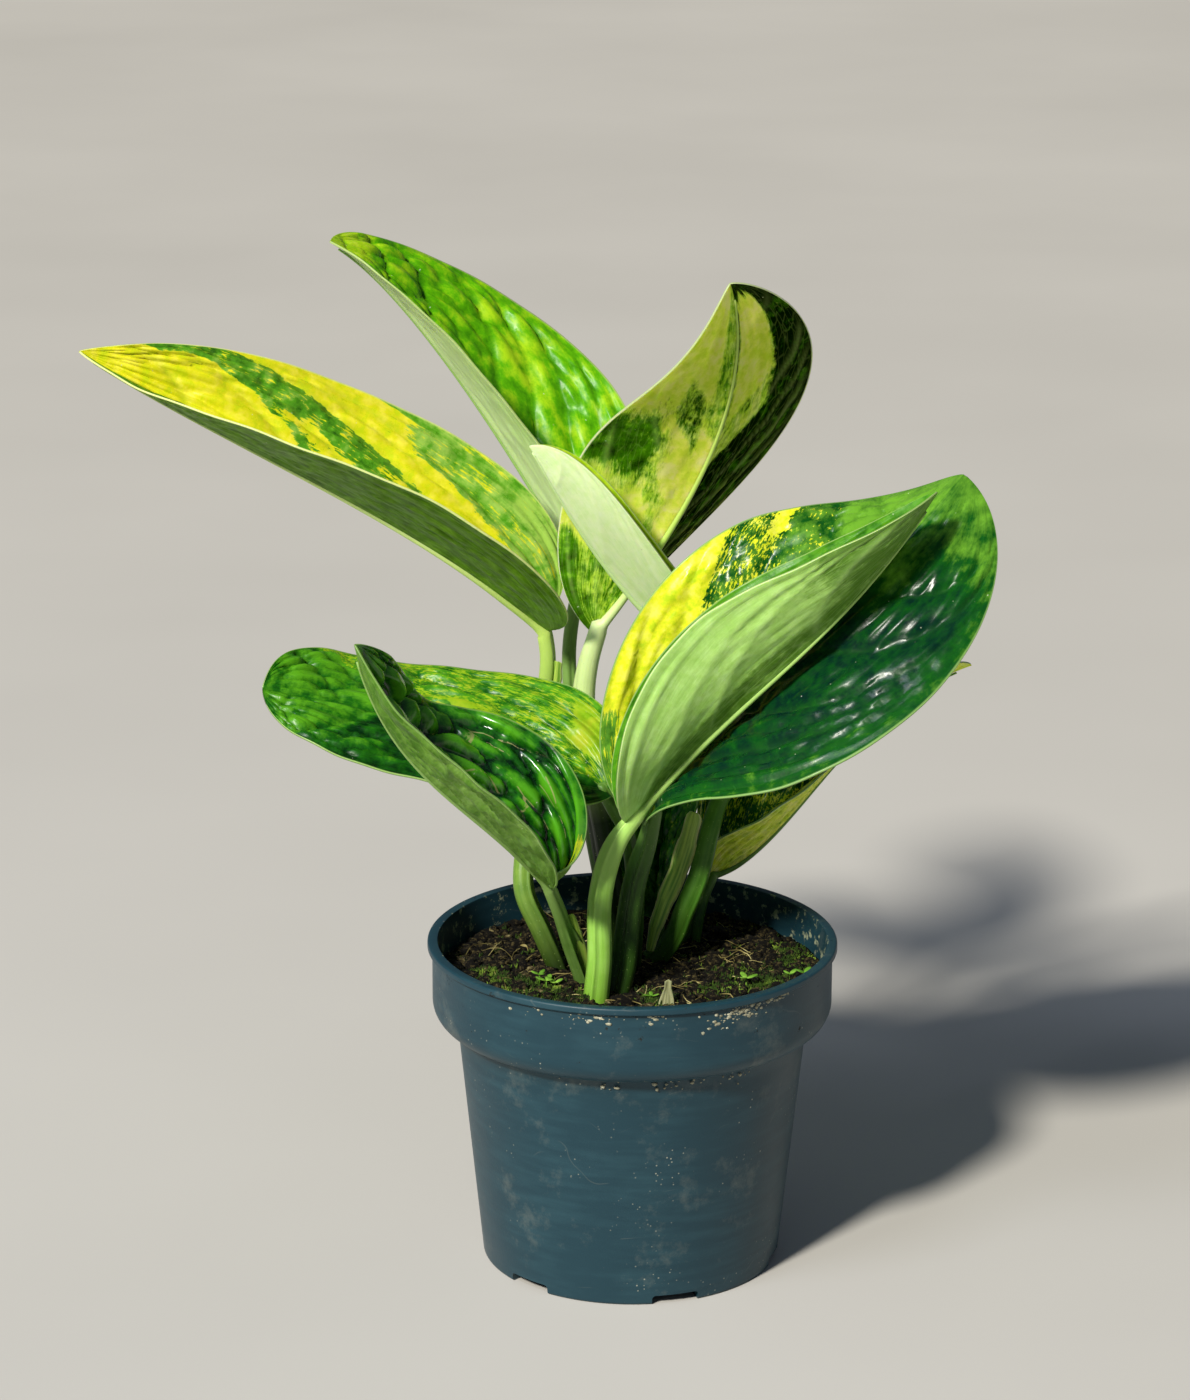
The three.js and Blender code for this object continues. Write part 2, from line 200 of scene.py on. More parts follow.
def turned(section: Sequence[Ends], steps: int) -> bmesh.types.BMesh:
    """Spins a section full round the upright axis.

    Args:
        section: Radii and heights in millimetres, from the axis and back to it.
        steps: Number of faces round.

    Returns:
        The closed body, with its faces outwards.
    """
    made = bmesh.new()
    points = [made.verts.new((radius * MM, 0, height * MM)) for radius, height in section]
    for low, high in zip(points, points[1:]):
        made.edges.new((low, high))
    bmesh.ops.spin(made, geom=made.verts[:] + made.edges[:], cent=(0, 0, 0), axis=(0, 0, 1),
                   angle=2 * math.pi, steps=steps, use_merge=True)
    bmesh.ops.remove_doubles(made, verts=made.verts, dist=MERGE_DISTANCE)
    bmesh.ops.recalc_face_normals(made, faces=made.faces)
    return made


def joined(name: str, pieces: Sequence[bpy.types.Object]) -> bpy.types.Object:
    """Joins pieces that grew as one.

    Args:
        name: Name of the whole.
        pieces: The pieces, of which the first takes up the others.

    Returns:
        The whole.
    """
    with bpy.context.temp_override(active_object=pieces[0], selected_editable_objects=list(pieces)):
        bpy.ops.object.join()
    pieces[0].name = name
    pieces[0].data.name = name
    return pieces[0]


def settle(piece: bpy.types.Object, slot: str, *nodes: str) -> bpy.types.Object:
    """Puts a piece under its body and hides the CAD nodes that it stands for.

    Args:
        piece: The finished piece.
        slot: The record's material slot; not used.
        nodes: The nodes that it replaces, if any.

    Returns:
        The same piece.
    """
    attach(piece, "root")
    if nodes:
        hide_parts(*nodes)
    LOG.info("%s: %d faces", piece.name, len(piece.data.polygons))
    return piece


def sheet_grid(columns: int, rows: int) -> tuple[bmesh.types.BMesh, np.ndarray]:
    """Starts a flat grid that a sheet or tube is shaped from.

    Args:
        columns: Number of faces across.
        rows: Number of faces along.

    Returns:
        The bmesh, and each vertex's place across and along, from 0 to 1.
    """
    made = bmesh.new()
    bmesh.ops.create_grid(made, x_segments=columns, y_segments=rows, size=0.5)
    return made, np.array([(v.co.x + 0.5, v.co.y + 0.5) for v in made.verts])


def move_to(made: bmesh.types.BMesh, places: np.ndarray) -> None:
    """Moves each vertex to a place given in millimetres."""
    for vertex, place in zip(made.verts, (places * MM).tolist()):
        vertex.co = place


def write_layer(made: bmesh.types.BMesh, name: str, values: np.ndarray) -> None:
    """Keeps a vector for each vertex, for the materials to read.

    Args:
        made: The bmesh.
        name: Name of the layer.
        values: One vector for each vertex.
    """
    layer = made.verts.layers.float_vector.new(name)
    for vertex, value in zip(made.verts, values.tolist()):
        vertex[layer] = value


def scattered(
    name: str, shapes: Sequence[bmesh.types.BMesh], places: Sequence[Matrix], material: bpy.types.Material
) -> bpy.types.Object:
    """Sets copies of a few small shapes at many places, all in one mesh.

    Args:
        name: Name of the piece.
        shapes: Small shapes in millimetres with the same number of vertices, which are freed.
        places: One matrix in metres for each copy.
        material: What the copies are of.

    Returns:
        One object with all copies.
    """
    points = np.array([[vertex.co[:] for vertex in shape.verts] for shape in shapes])
    bits = []
    for shape in shapes:
        bits.append(bpy.data.meshes.new("bit"))
        shape.to_mesh(bits[-1])
        shape.free()
    made = bmesh.new()
    for number in range(len(places)):
        made.from_mesh(bits[number % len(bits)])
    piece = mesh_object(name, made, [material])
    matrices = np.array(places)
    local = points[np.arange(len(places)) % len(bits)]
    moved = np.einsum("nij,nkj->nki", matrices[:, :3, :3], local) + matrices[:, None, :3, 3]
    piece.data.vertices.foreach_set("co", moved.ravel())
    piece.data.update()
    for bit in bits:
        bpy.data.meshes.remove(bit)
    return piece


def rough_lumps(count: int, draw: random.Random) -> list[bmesh.types.BMesh]:
    """Makes a few uneven lumps of radius 1.

    Args:
        count: How many lumps.
        draw: The seeded draw.

    Returns:
        One bmesh for each lump.
    """
    lumps = []
    for _ in range(count):
        lump = bmesh.new()
        bmesh.ops.create_icosphere(lump, subdivisions=1, radius=1.0)
        shift = Vector((draw.uniform(0, 50), draw.uniform(0, 50), 0))
        for vertex in lump.verts:
            vertex.co *= 1 + 0.55 * noise.noise(vertex.co * 1.4 + shift)
        lumps.append(lump)
    return lumps


# Finishes

class Surface:
    """A material in the making: its node tree and its main shader."""

    def __init__(self, name: str) -> None:
        """Starts a material of one name."""
        self.material = bpy.data.materials.new(name)
        self.material.use_nodes = True
        self.tree = self.material.node_tree
        self.shader = self.tree.nodes["Principled BSDF"]

    def feed(self, socket: bpy.types.NodeSocket, value: object) -> None:
        """Links a node's output to an input, or sets the input.

        Args:
            socket: The input.
            value: A node's output or a plain value.
        """
        if isinstance(value, bpy.types.NodeSocket):
            self.tree.links.new(value, socket)
        else:
            socket.default_value = value

    def add(
        self,
        kind: str,
        inputs: Mapping[str | int, object] | None = None,
        stops: Sequence[tuple[float, str]] = (),
        out: str | int = 0,
        **settings: object,
    ) -> bpy.types.NodeSocket:
        """Adds a shader node with its settings and links.

        Args:
            kind: The node's type name, without the ShaderNode before it.
            inputs: A value or another node's output for each input that is set.
            stops: For a colour ramp, each stop's place and hex colour.
            out: Which of the node's outputs is wanted.
            settings: The node's own properties.

        Returns:
            That output.
        """
        node = self.tree.nodes.new("ShaderNode" + kind)
        for key, value in settings.items():
            setattr(node, key, value)
        for key, value in (inputs or {}).items():
            self.feed(node.inputs[key], value)
        if stops:
            ramp = node.color_ramp.elements
            while len(ramp) < len(stops):
                ramp.new(0.5)
            for element, (place, code) in zip(ramp, stops):
                element.position = place
                element.color = linear_rgb(code)
        return node.outputs[out]

    def dress(self, **inputs: object) -> bpy.types.Material:
        """Sets or links the main shader's inputs.

        Args:
            inputs: A value or a node's output for each input, named with underscores.

        Returns:
            The finished material.
        """
        for key, value in inputs.items():
            self.feed(self.shader.inputs[key.replace("_", " ")], value)
        return self.material


@dataclass(frozen=True)
class LeafSkin:
    """A face of an aroid blade: a thin waxy skin over cells with and without leaf green.

    The upper face is leathery and glossy, with hard-edged yellow flecks drawn out along the laterals.
    The underside is paler and duller, and the same flecks show through it softly.
    """

    name: str
    deep: str
    green: str
    fresh: str
    cream_deep: str
    cream: str
    cream_pale: str
    vein: str
    margin: str
    roughness: float = 0.34
    gloss: float = 0.4
    vein_share: float = 0.25
    fleck_size: float = 1.1
    fleck_edge: float = 0.012
    fleck_stretch: float = 0.3
    pebble: float = 0.35
    glow: float = 0.15
    glow_depth: float = 0.5
    cloud: float = 1.1
    net_share: float = 0.1
    scar: str = "#a39c68"
    lime: str = "#c9cfb4"

    def build(self) -> bpy.types.Material:
        """Makes the material.

        Returns:
            The material, for a piece's slot.
        """
        skin = Surface(self.name)
        grain, flat, place, paint = (skin.add("Attribute", out="Vector", attribute_name=name)
                                     for name in ("grain", "flat", "place", "paint"))
        reach, _, vein = skin.add("SeparateXYZ", {0: place}).node.outputs
        pull, tone, cork = skin.add("SeparateXYZ", {0: paint}).node.outputs

        # Flecks about 1 mm wide and two to four times as long, in drifts of about 5 mm
        size = self.fleck_size
        drawn = skin.add("Mapping", {0: grain, "Scale": (1 / size, self.fleck_stretch / size, 1.0)})
        fleck = skin.add("TexNoise", {"Vector": drawn, "Scale": 1.0, "Detail": 5.0, "Roughness": 0.68})
        drift = skin.add("TexNoise", {"Vector": flat, "Scale": 0.2, "Detail": 4.0, "Roughness": 0.6})
        both = skin.add("Mix", {0: 0.3, 2: fleck, 3: drift})
        level = skin.add("Math", {0: both, 1: pull}, operation="ADD")
        pale = skin.add("MapRange", {0: level, 1: 0.5 - self.fleck_edge, 2: 0.5 + self.fleck_edge})

        # Leaf green from deep to fresh: the paint's tone, cloudy cells and fine streaks
        cells = skin.add("TexNoise", {"Vector": flat, "Scale": 0.26, "Detail": 5.0, "Roughness": 0.62})
        mixed = skin.add("Math", {0: cells, 1: drift}, operation="ADD")
        streaky = skin.add("Math", {0: fleck, 1: 0.5, 2: mixed}, operation="MULTIPLY_ADD")
        cloudy = skin.add(
            "Math", {0: streaky, 1: self.cloud, 2: 0.5 - 1.25 * self.cloud}, operation="MULTIPLY_ADD")
        toned = skin.add("Math", {0: tone, 1: 0.42, 2: cloudy}, operation="MULTIPLY_ADD")
        greens = skin.add("ValToRGB", {0: toned}, [(0.1, self.deep), (0.5, self.green), (0.9, self.fresh)])
        creams = skin.add(
            "ValToRGB", {0: cells}, [(0.36, self.cream_deep), (0.5, self.cream), (0.66, self.cream_pale)])
        flesh = skin.add("Mix", {0: pale, 6: greens, 7: creams}, out=2, data_type="RGBA")

        # Laterals as thin lines, a net of fine veins with meshes of about 3 by 7 mm, and the horny margin
        meshes = skin.add("Mapping", {0: grain, "Scale": (0.3, 0.14, 1.0)})
        apart = skin.add(
            "TexVoronoi", {"Vector": meshes, "Scale": 1.0}, out="Distance", feature="DISTANCE_TO_EDGE")
        net = skin.add("MapRange", {0: apart, 1: 0.02, 2: 0.07, 3: self.net_share, 4: 0.0})
        main = skin.add("Math", {0: vein, 1: self.vein_share}, operation="MULTIPLY")
        line = skin.add("Math", {0: main, 1: net}, operation="MAXIMUM")
        out = skin.add("Math", {0: reach}, operation="ABSOLUTE")
        edge = skin.add("MapRange", {0: out, 1: 0.982, 2: 0.996})

        # Corky scars: short cracked lines of dead skin where the paint asks for them
        bent = skin.add("Mapping", {0: grain, "Scale": (0.07, 0.05, 1.0)})
        cracks = skin.add(
            "TexVoronoi", {"Vector": bent, "Scale": 1.0, "Randomness": 1.0}, feature="DISTANCE_TO_EDGE")
        crack = skin.add("MapRange", {0: cracks, 1: 0.008, 2: 0.018, 3: 0.85, 4: 0.0})
        broken = skin.add("MapRange", {0: drift, 1: 0.5, 2: 0.54})
        scarred = skin.add("Math", {0: crack, 1: broken}, operation="MULTIPLY")
        shown = skin.add("Math", {0: scarred, 1: cork}, operation="MULTIPLY")

        # Lime specks of 0.4 mm left by dried water, about one in a square centimetre
        drops = skin.add("TexVoronoi", {"Vector": flat, "Scale": 0.22}, out="Distance")
        drop = skin.add("MapRange", {0: drops, 1: 0.05, 2: 0.03, 3: 0.0, 4: 0.6})
        colour = flesh
        for share, code in ((line, self.vein), (edge, self.margin), (shown, self.scar), (drop, self.lime)):
            colour = skin.add("Mix", {0: share, 6: colour, 7: linear_rgb(code)}, out=2, data_type="RGBA")

        # Leathery relief: cells of about 0.9 mm, dimples of about 2.5 mm and streaks along the laterals
        pebbles = skin.add("TexNoise", {"Vector": flat, "Scale": 1.1, "Detail": 2.0})
        dimples = skin.add("TexNoise", {"Vector": flat, "Scale": 0.4, "Detail": 1.0})
        rough = skin.add(
            "MapRange", {0: cells, 1: 0.3, 2: 0.7, 3: self.roughness - 0.05, 4: self.roughness + 0.08})
        dull = skin.add("Math", {0: shown, 1: 0.4, 2: rough}, operation="MULTIPLY_ADD")
        small = skin.add("Math", {0: fleck, 1: 0.3, 2: pebbles}, operation="MULTIPLY_ADD")
        height = skin.add("Math", {0: dimples, 1: 1.4, 2: small}, operation="MULTIPLY_ADD")
        relief = skin.add("Bump", {"Strength": self.pebble, "Distance": 0.35 * MM, "Height": height})
        return skin.dress(Base_Color=colour, Roughness=dull, Normal=relief, IOR=1.45,
                          Specular_IOR_Level=self.gloss, Subsurface_Weight=self.glow,
                          Subsurface_Radius=(0.8, 1.0, 0.2), Subsurface_Scale=self.glow_depth * MM)


@dataclass(frozen=True)
class StalkSkin:
    """Skin of a petiole: smooth, ribbed by its fibres, with pale breathing dots and a shaded foot."""

    name: str
    foot: str
    green: str
    pale: str
    top: str
    rib: str
    foot_shares: Ends = (0.08, 0.32)
    dot: str = "#a8c472"
    roughness: float = 0.4

    def build(self) -> bpy.types.Material:
        """Makes the material.

        Returns:
            The material, for a piece's slot.
        """
        skin = Surface(self.name)
        grain, place = (skin.add("Attribute", out="Vector", attribute_name=name) for name in ("grain", "place"))
        share = skin.add("SeparateXYZ", {0: place}, out="Y")
        # Fibres about 0.8 mm apart that run the length of the stalk
        drawn = skin.add("Mapping", {0: grain, "Scale": (1.2, 0.06, 1.2)})
        fibres = skin.add("TexNoise", {"Vector": drawn, "Scale": 1.0, "Detail": 4.0})
        cloud = skin.add("TexNoise", {"Vector": grain, "Scale": 0.22, "Detail": 4.0})
        mixed = skin.add("Math", {0: fibres, 1: cloud}, operation="ADD")
        spread = skin.add("Math", {0: mixed, 1: 0.5}, operation="MULTIPLY")
        body = skin.add("ValToRGB", {0: spread}, [(0.32, self.green), (0.72, self.pale)])
        rise = skin.add("MapRange", {0: share, 1: 0.62, 2: 1.0})
        ribbed = skin.add("MapRange", {0: share, 1: 1.0, 2: 1.3})
        # Darker towards the foot between the foot_shares; on leaf C's petiole, which stands in shadow behind
        # the others, this reaches far up and is painted shade
        low, full = self.foot_shares
        sink = skin.add("MapRange", {0: share, 1: full, 2: low})
        # Pale breathing dots, under 0.3 mm wide and about 1 mm apart
        dots = skin.add("TexVoronoi", {"Vector": grain, "Scale": 0.8}, out="Distance")
        dotted = skin.add("MapRange", {0: dots, 1: 0.14, 2: 0.09, 3: 0.0, 4: 0.4})
        colour = body
        for part, code in ((rise, self.top), (ribbed, self.rib), (sink, self.foot), (dotted, self.dot)):
            colour = skin.add("Mix", {0: part, 6: colour, 7: linear_rgb(code)}, out=2, data_type="RGBA")
        relief = skin.add("Bump", {"Strength": 0.25, "Distance": 0.4 * MM, "Height": fibres})
        return skin.dress(Base_Color=colour, Roughness=self.roughness, Normal=relief, IOR=1.45,
                          Specular_IOR_Level=0.3, Subsurface_Weight=0.2, Subsurface_Radius=(0.8, 1.0, 0.25),
                          Subsurface_Scale=2 * MM)


@dataclass(frozen=True)
class SheathSkin:
    """The thin edge of a leaf sheath, half dried: yellow green with paler ribs and a straw margin."""

    name: str = "sheath_edge"
    body: str = "#6a982c"
    rib: str = "#b0cc54"
    edge: str = "#d2da90"

    def build(self) -> bpy.types.Material:
        """Makes the material.

        Returns:
            The material, for a piece's slot.
        """
        skin = Surface(self.name)
        grain, place = (skin.add("Attribute", out="Vector", attribute_name=name) for name in ("grain", "place"))
        across = skin.add("SeparateXYZ", {0: place}, out="X")
        # Ribs about 0.6 mm apart that run the length of the sheath
        drawn = skin.add("Mapping", {0: grain, "Scale": (1.7, 0.06, 1.0)})
        ribs = skin.add("TexNoise", {"Vector": drawn, "Scale": 1.0, "Detail": 4.0})
        body = skin.add("ValToRGB", {0: ribs}, [(0.4, self.body), (0.6, self.rib)])
        out = skin.add("Math", {0: across}, operation="ABSOLUTE")
        edge = skin.add("MapRange", {0: out, 1: 0.7, 2: 0.95})
        colour = skin.add("Mix", {0: edge, 6: body, 7: linear_rgb(self.edge)}, out=2, data_type="RGBA")
        relief = skin.add("Bump", {"Strength": 0.5, "Distance": 0.3 * MM, "Height": ribs})
        return skin.dress(Base_Color=colour, Roughness=0.5, Normal=relief, Subsurface_Weight=0.3,
                          Subsurface_Radius=(0.8, 1.0, 0.25), Subsurface_Scale=1 * MM)


@dataclass(frozen=True)
class MouldedPolypropylene:
    """Thin nursery-pot plastic: satin as it comes from the mould, then dusted, splashed and scratched."""

    name: str = "moulded_polypropylene"
    body: str = "#193944"
    worn: str = "#2b4e58"
    dust: str = "#a9aa98"
    mud: str = "#1d1b12"
    algae: str = "#a3ab8c"
    inside_radius: float = 57.6

    def build(self) -> bpy.types.Material:
        """Makes the material.

        Returns:
            The material, for a piece's slot.
        """
        plastic = Surface(self.name)
        spot = plastic.add("TexCoord", out="Object")
        # Hazy handling marks of about 25 mm, and wear drawn out level with the rim
        haze = plastic.add("TexNoise", {"Vector": spot, "Scale": 38.0, "Detail": 6.0, "Roughness": 0.6})
        level = plastic.add("Mapping", {0: spot, "Scale": (60.0, 60.0, 420.0)})
        rubbed = plastic.add("TexNoise", {"Vector": level, "Scale": 1.0, "Detail": 5.0})
        both = plastic.add("Math", {0: haze, 1: rubbed}, operation="MULTIPLY")
        wear = plastic.add("MapRange", {0: both, 1: 0.2, 2: 0.42, 3: 0.0, 4: 0.5})
        # Pale dried smears of about 18 mm, with ragged edges, left by wet hands and hard water
        smear = plastic.add("TexNoise", {"Vector": spot, "Scale": 55.0, "Detail": 8.0, "Roughness": 0.72})
        wiped = plastic.add("MapRange", {0: smear, 1: 0.56, 2: 0.8, 3: 0.0, 4: 0.22})

        # Dust and lime specks of 0.3 to 0.8 mm, in loose drifts
        grit = plastic.add("TexVoronoi", {"Vector": spot, "Scale": 560.0}, out="Distance")
        speck = plastic.add("MapRange", {0: grit, 1: 0.16, 2: 0.1, 3: 0.0, 4: 0.7})
        patch = plastic.add("TexNoise", {"Vector": spot, "Scale": 70.0, "Detail": 3.0})
        where = plastic.add("MapRange", {0: patch, 1: 0.54, 2: 0.68})
        dusty = plastic.add("Math", {0: speck, 1: where}, operation="MULTIPLY")

        # Fine short scratches, under 0.2 mm wide and drawn a little wider so that they show
        curl = plastic.add("TexNoise", {"Vector": spot, "Scale": 30.0, "Detail": 2.0}, out="Color")
        bent = plastic.add("Mix", {0: 0.045, 4: spot, 5: curl}, out=1, data_type="VECTOR")
        slanted = plastic.add("Mapping", {0: bent, "Rotation": (0.9, 0.5, 0.3), "Scale": (60.0, 60.0, 1100.0)})
        hair = plastic.add("TexNoise", {"Vector": slanted, "Scale": 1.0, "Detail": 0.0})
        thin = plastic.add("MapRange", {0: hair, 1: 0.8, 2: 0.86, 3: 0.0, 4: 0.07})
        marks = plastic.add("Math", {0: thin, 1: dusty}, operation="MAXIMUM")

        # Peat splashes under the lip and the collar, and a green film on the inner wall
        x, y, z = plastic.add("SeparateXYZ", {0: spot}).node.outputs
        splash = plastic.add("TexNoise", {"Vector": spot, "Scale": 260.0, "Detail": 5.0, "Roughness": 0.7})
        below = plastic.add("MapRange", {0: z, 1: 60 * MM, 2: 94 * MM})
        rare = plastic.add("Math", {0: below, 1: 0.1, 2: splash}, operation="MULTIPLY_ADD")
        muddy = plastic.add("MapRange", {0: rare, 1: 0.735, 2: 0.76, 3: 0.0, 4: 0.8})
        flat = plastic.add("CombineXYZ", {0: x, 1: y})
        radius = plastic.add("VectorMath", {0: flat}, out="Value", operation="LENGTH")
        inner = plastic.add(
            "MapRange", {0: radius, 1: self.inside_radius * MM, 2: (self.inside_radius - 0.4) * MM})
        film = plastic.add("MapRange", {0: splash, 1: 0.565, 2: 0.63, 3: 0.0, 4: 0.85})
        filmed = plastic.add("Math", {0: inner, 1: film}, operation="MULTIPLY")
        high = plastic.add("MapRange", {0: z, 1: 80 * MM, 2: 84 * MM})
        green = plastic.add("Math", {0: filmed, 1: high}, operation="MULTIPLY")
        colour = linear_rgb(self.body)
        for share, code in ((wear, self.worn), (wiped, self.dust), (marks, self.dust), (muddy, self.mud),
                            (green, self.algae)):
            colour = plastic.add("Mix", {0: share, 6: colour, 7: linear_rgb(code)}, out=2, data_type="RGBA")

        # Satin mould finish with a grain of under 1 mm, duller where it is soiled
        sheen = plastic.add("MapRange", {0: haze, 1: 0.3, 2: 0.7, 3: 0.36, 4: 0.5})
        crust = plastic.add("Math", {0: muddy, 1: 0.45, 2: sheen}, operation="MULTIPLY_ADD")
        skin = plastic.add("TexNoise", {"Vector": spot, "Scale": 1500.0, "Detail": 2.0})
        relief = plastic.add("Bump", {"Strength": 0.12, "Distance": 0.2 * MM, "Height": skin})
        return plastic.dress(Base_Color=colour, Roughness=crust, Normal=relief, IOR=1.49,
                             Specular_IOR_Level=0.35)


@dataclass(frozen=True)
class LooseMatter:
    """Loose dead or mossy matter: peat, bark, straw, moss. It is dull, and no two bits are alike."""

    name: str
    colours: tuple[str, str, str]
    cell: float
    roughness: float = 0.95
    bump: float = 0.8

    def build(self) -> bpy.types.Material:
        """Makes the material.

        Returns:
            The material, for a piece's slot.
        """
        matter = Surface(self.name)
        spot = matter.add("TexCoord", out="Object")
        low, middle, high = self.colours
        coarse = matter.add(
            "TexNoise", {"Vector": spot, "Scale": 1000 / self.cell, "Detail": 6.0, "Roughness": 0.7})
        colour = matter.add("ValToRGB", {0: coarse}, [(0.36, low), (0.52, middle), (0.68, high)])
        fine = matter.add("TexNoise", {"Vector": spot, "Scale": 3000 / self.cell, "Detail": 5.0})
        relief = matter.add("Bump", {"Strength": self.bump, "Distance": 0.8 * MM, "Height": fine})
        return matter.dress(Base_Color=colour, Roughness=self.roughness, Normal=relief,
                            Specular_IOR_Level=0.2)


@dataclass(frozen=True)
class PaperyHusk:
    """A dried leaf scale: thin, ribbed lengthwise, straw to olive brown."""

    name: str = "papery_husk"
    pale: str = "#b2b486"
    dark: str = "#666a3a"

    def build(self) -> bpy.types.Material:
        """Makes the material.

        Returns:
            The material, for a piece's slot.
        """
        husk = Surface(self.name)
        grain = husk.add("Attribute", out="Vector", attribute_name="grain")
        drawn = husk.add("Mapping", {0: grain, "Scale": (2.2, 0.1, 1.0)})
        ribs = husk.add("TexNoise", {"Vector": drawn, "Scale": 1.0, "Detail": 4.0})
        colour = husk.add("ValToRGB", {0: ribs}, [(0.35, self.dark), (0.65, self.pale)])
        relief = husk.add("Bump", {"Strength": 0.6, "Distance": 0.4 * MM, "Height": ribs})
        return husk.dress(Base_Color=colour, Roughness=0.7, Normal=relief, Subsurface_Weight=0.2,
                          Subsurface_Radius=(1.0, 0.8, 0.3), Subsurface_Scale=1 * MM)


# Leaves

class Half(Enum):
    """The two halves of a blade, seen from above with the tip ahead."""

    LEFT = -1
    RIGHT = 1


@dataclass(frozen=True)
class Spots:
    """Places on a blade, with one value of each array for each place.

    t runs along from 0 at the base to 1 at the tip and reach across from 0 at the midrib to 1 at the margin.
    side is -1 on the left half and 1 on the right one.
    """

    t: np.ndarray
    reach: np.ndarray
    side: np.ndarray

    def pick(self, values: Sequence[float | np.ndarray]) -> np.ndarray:
        """Picks each place's value from the left half's and the right one's."""
        return np.where(self.side > 0, values[1], values[0])


@dataclass(frozen=True)
class Patch:
    """Paint on part of a blade's half, bounded by two laterals, two reaches and two places along."""

    half: Half
    laterals: Ends
    yellow: float
    tone: float = 0.0
    reach: Ends = (-0.1, 1.1)
    along: Ends = (-0.1, 1.1)
    cork: float = 0.0
    soft: float = 0.02


@dataclass(frozen=True)
class Quilting:
    """Relief of a blade in millimetres.

    Laterals are sunken lines, so many to the midrib's length on either half. The strips between them
    swell, and cross veins part each strip into blisters by the share crumple. belly is how far each half
    bulges out on its underside, and shade how much darker the green is painted in the creases than on the
    domes: partly the creases' own older green, partly painted shade in the creases and painted light on
    the domes.
    left_share is the left half's relief as a share of the right one's.
    """

    laterals: Ends = (5.0, 5.0)
    groove: float = 0.35
    pillow: float = 0.9
    crumple: float = 0.5
    blister: float = 0.35
    blister_size: float = 8.0
    midrib: float = 0.6
    wave: float = 0.3
    belly: float = 0.0
    shade: float = 0.4
    left_share: float = 1.0


@dataclass(frozen=True)
class Ribbon:
    """A torn strip of leaf sheath beside a petiole: its middle line from the foot up, and its widths."""

    line: tuple[Point, ...]
    widths: Three
    facing: Point
    curl: float = 0.5


@dataclass(frozen=True)
class LeafPlan:
    """One leaf as it grew. The numbers up to stem_radii are the CAD model's.

    midrib has the Bezier points from base to tip. roll, the folds and the cups are in degrees.
    sweep and bend say how far the laterals of each half lean to the tip on their way to the margin.
    """

    name: str
    node: str
    slot: str
    midrib: tuple[Point, Point, Point, Point]
    roll: Three
    half_widths: Ends
    fullness: Ends
    fold_left: Three
    fold_right: Three
    cup_left: Ends
    cup_right: Ends
    lobe: float
    stem: tuple[Point, ...]
    stem_radii: Ends
    upper: LeafSkin
    under: LeafSkin
    stalk: StalkSkin
    sweep: Ends = (0.6, 0.6)
    bend: Ends = (1.2, 1.2)
    quilting: Quilting = Quilting()
    yellow: float = 0.0
    patches: tuple[Patch, ...] = ()
    wing: float = 0.9
    sheath: float = 0.7
    ribbons: tuple[Ribbon, ...] = ()
    seed: int = 1


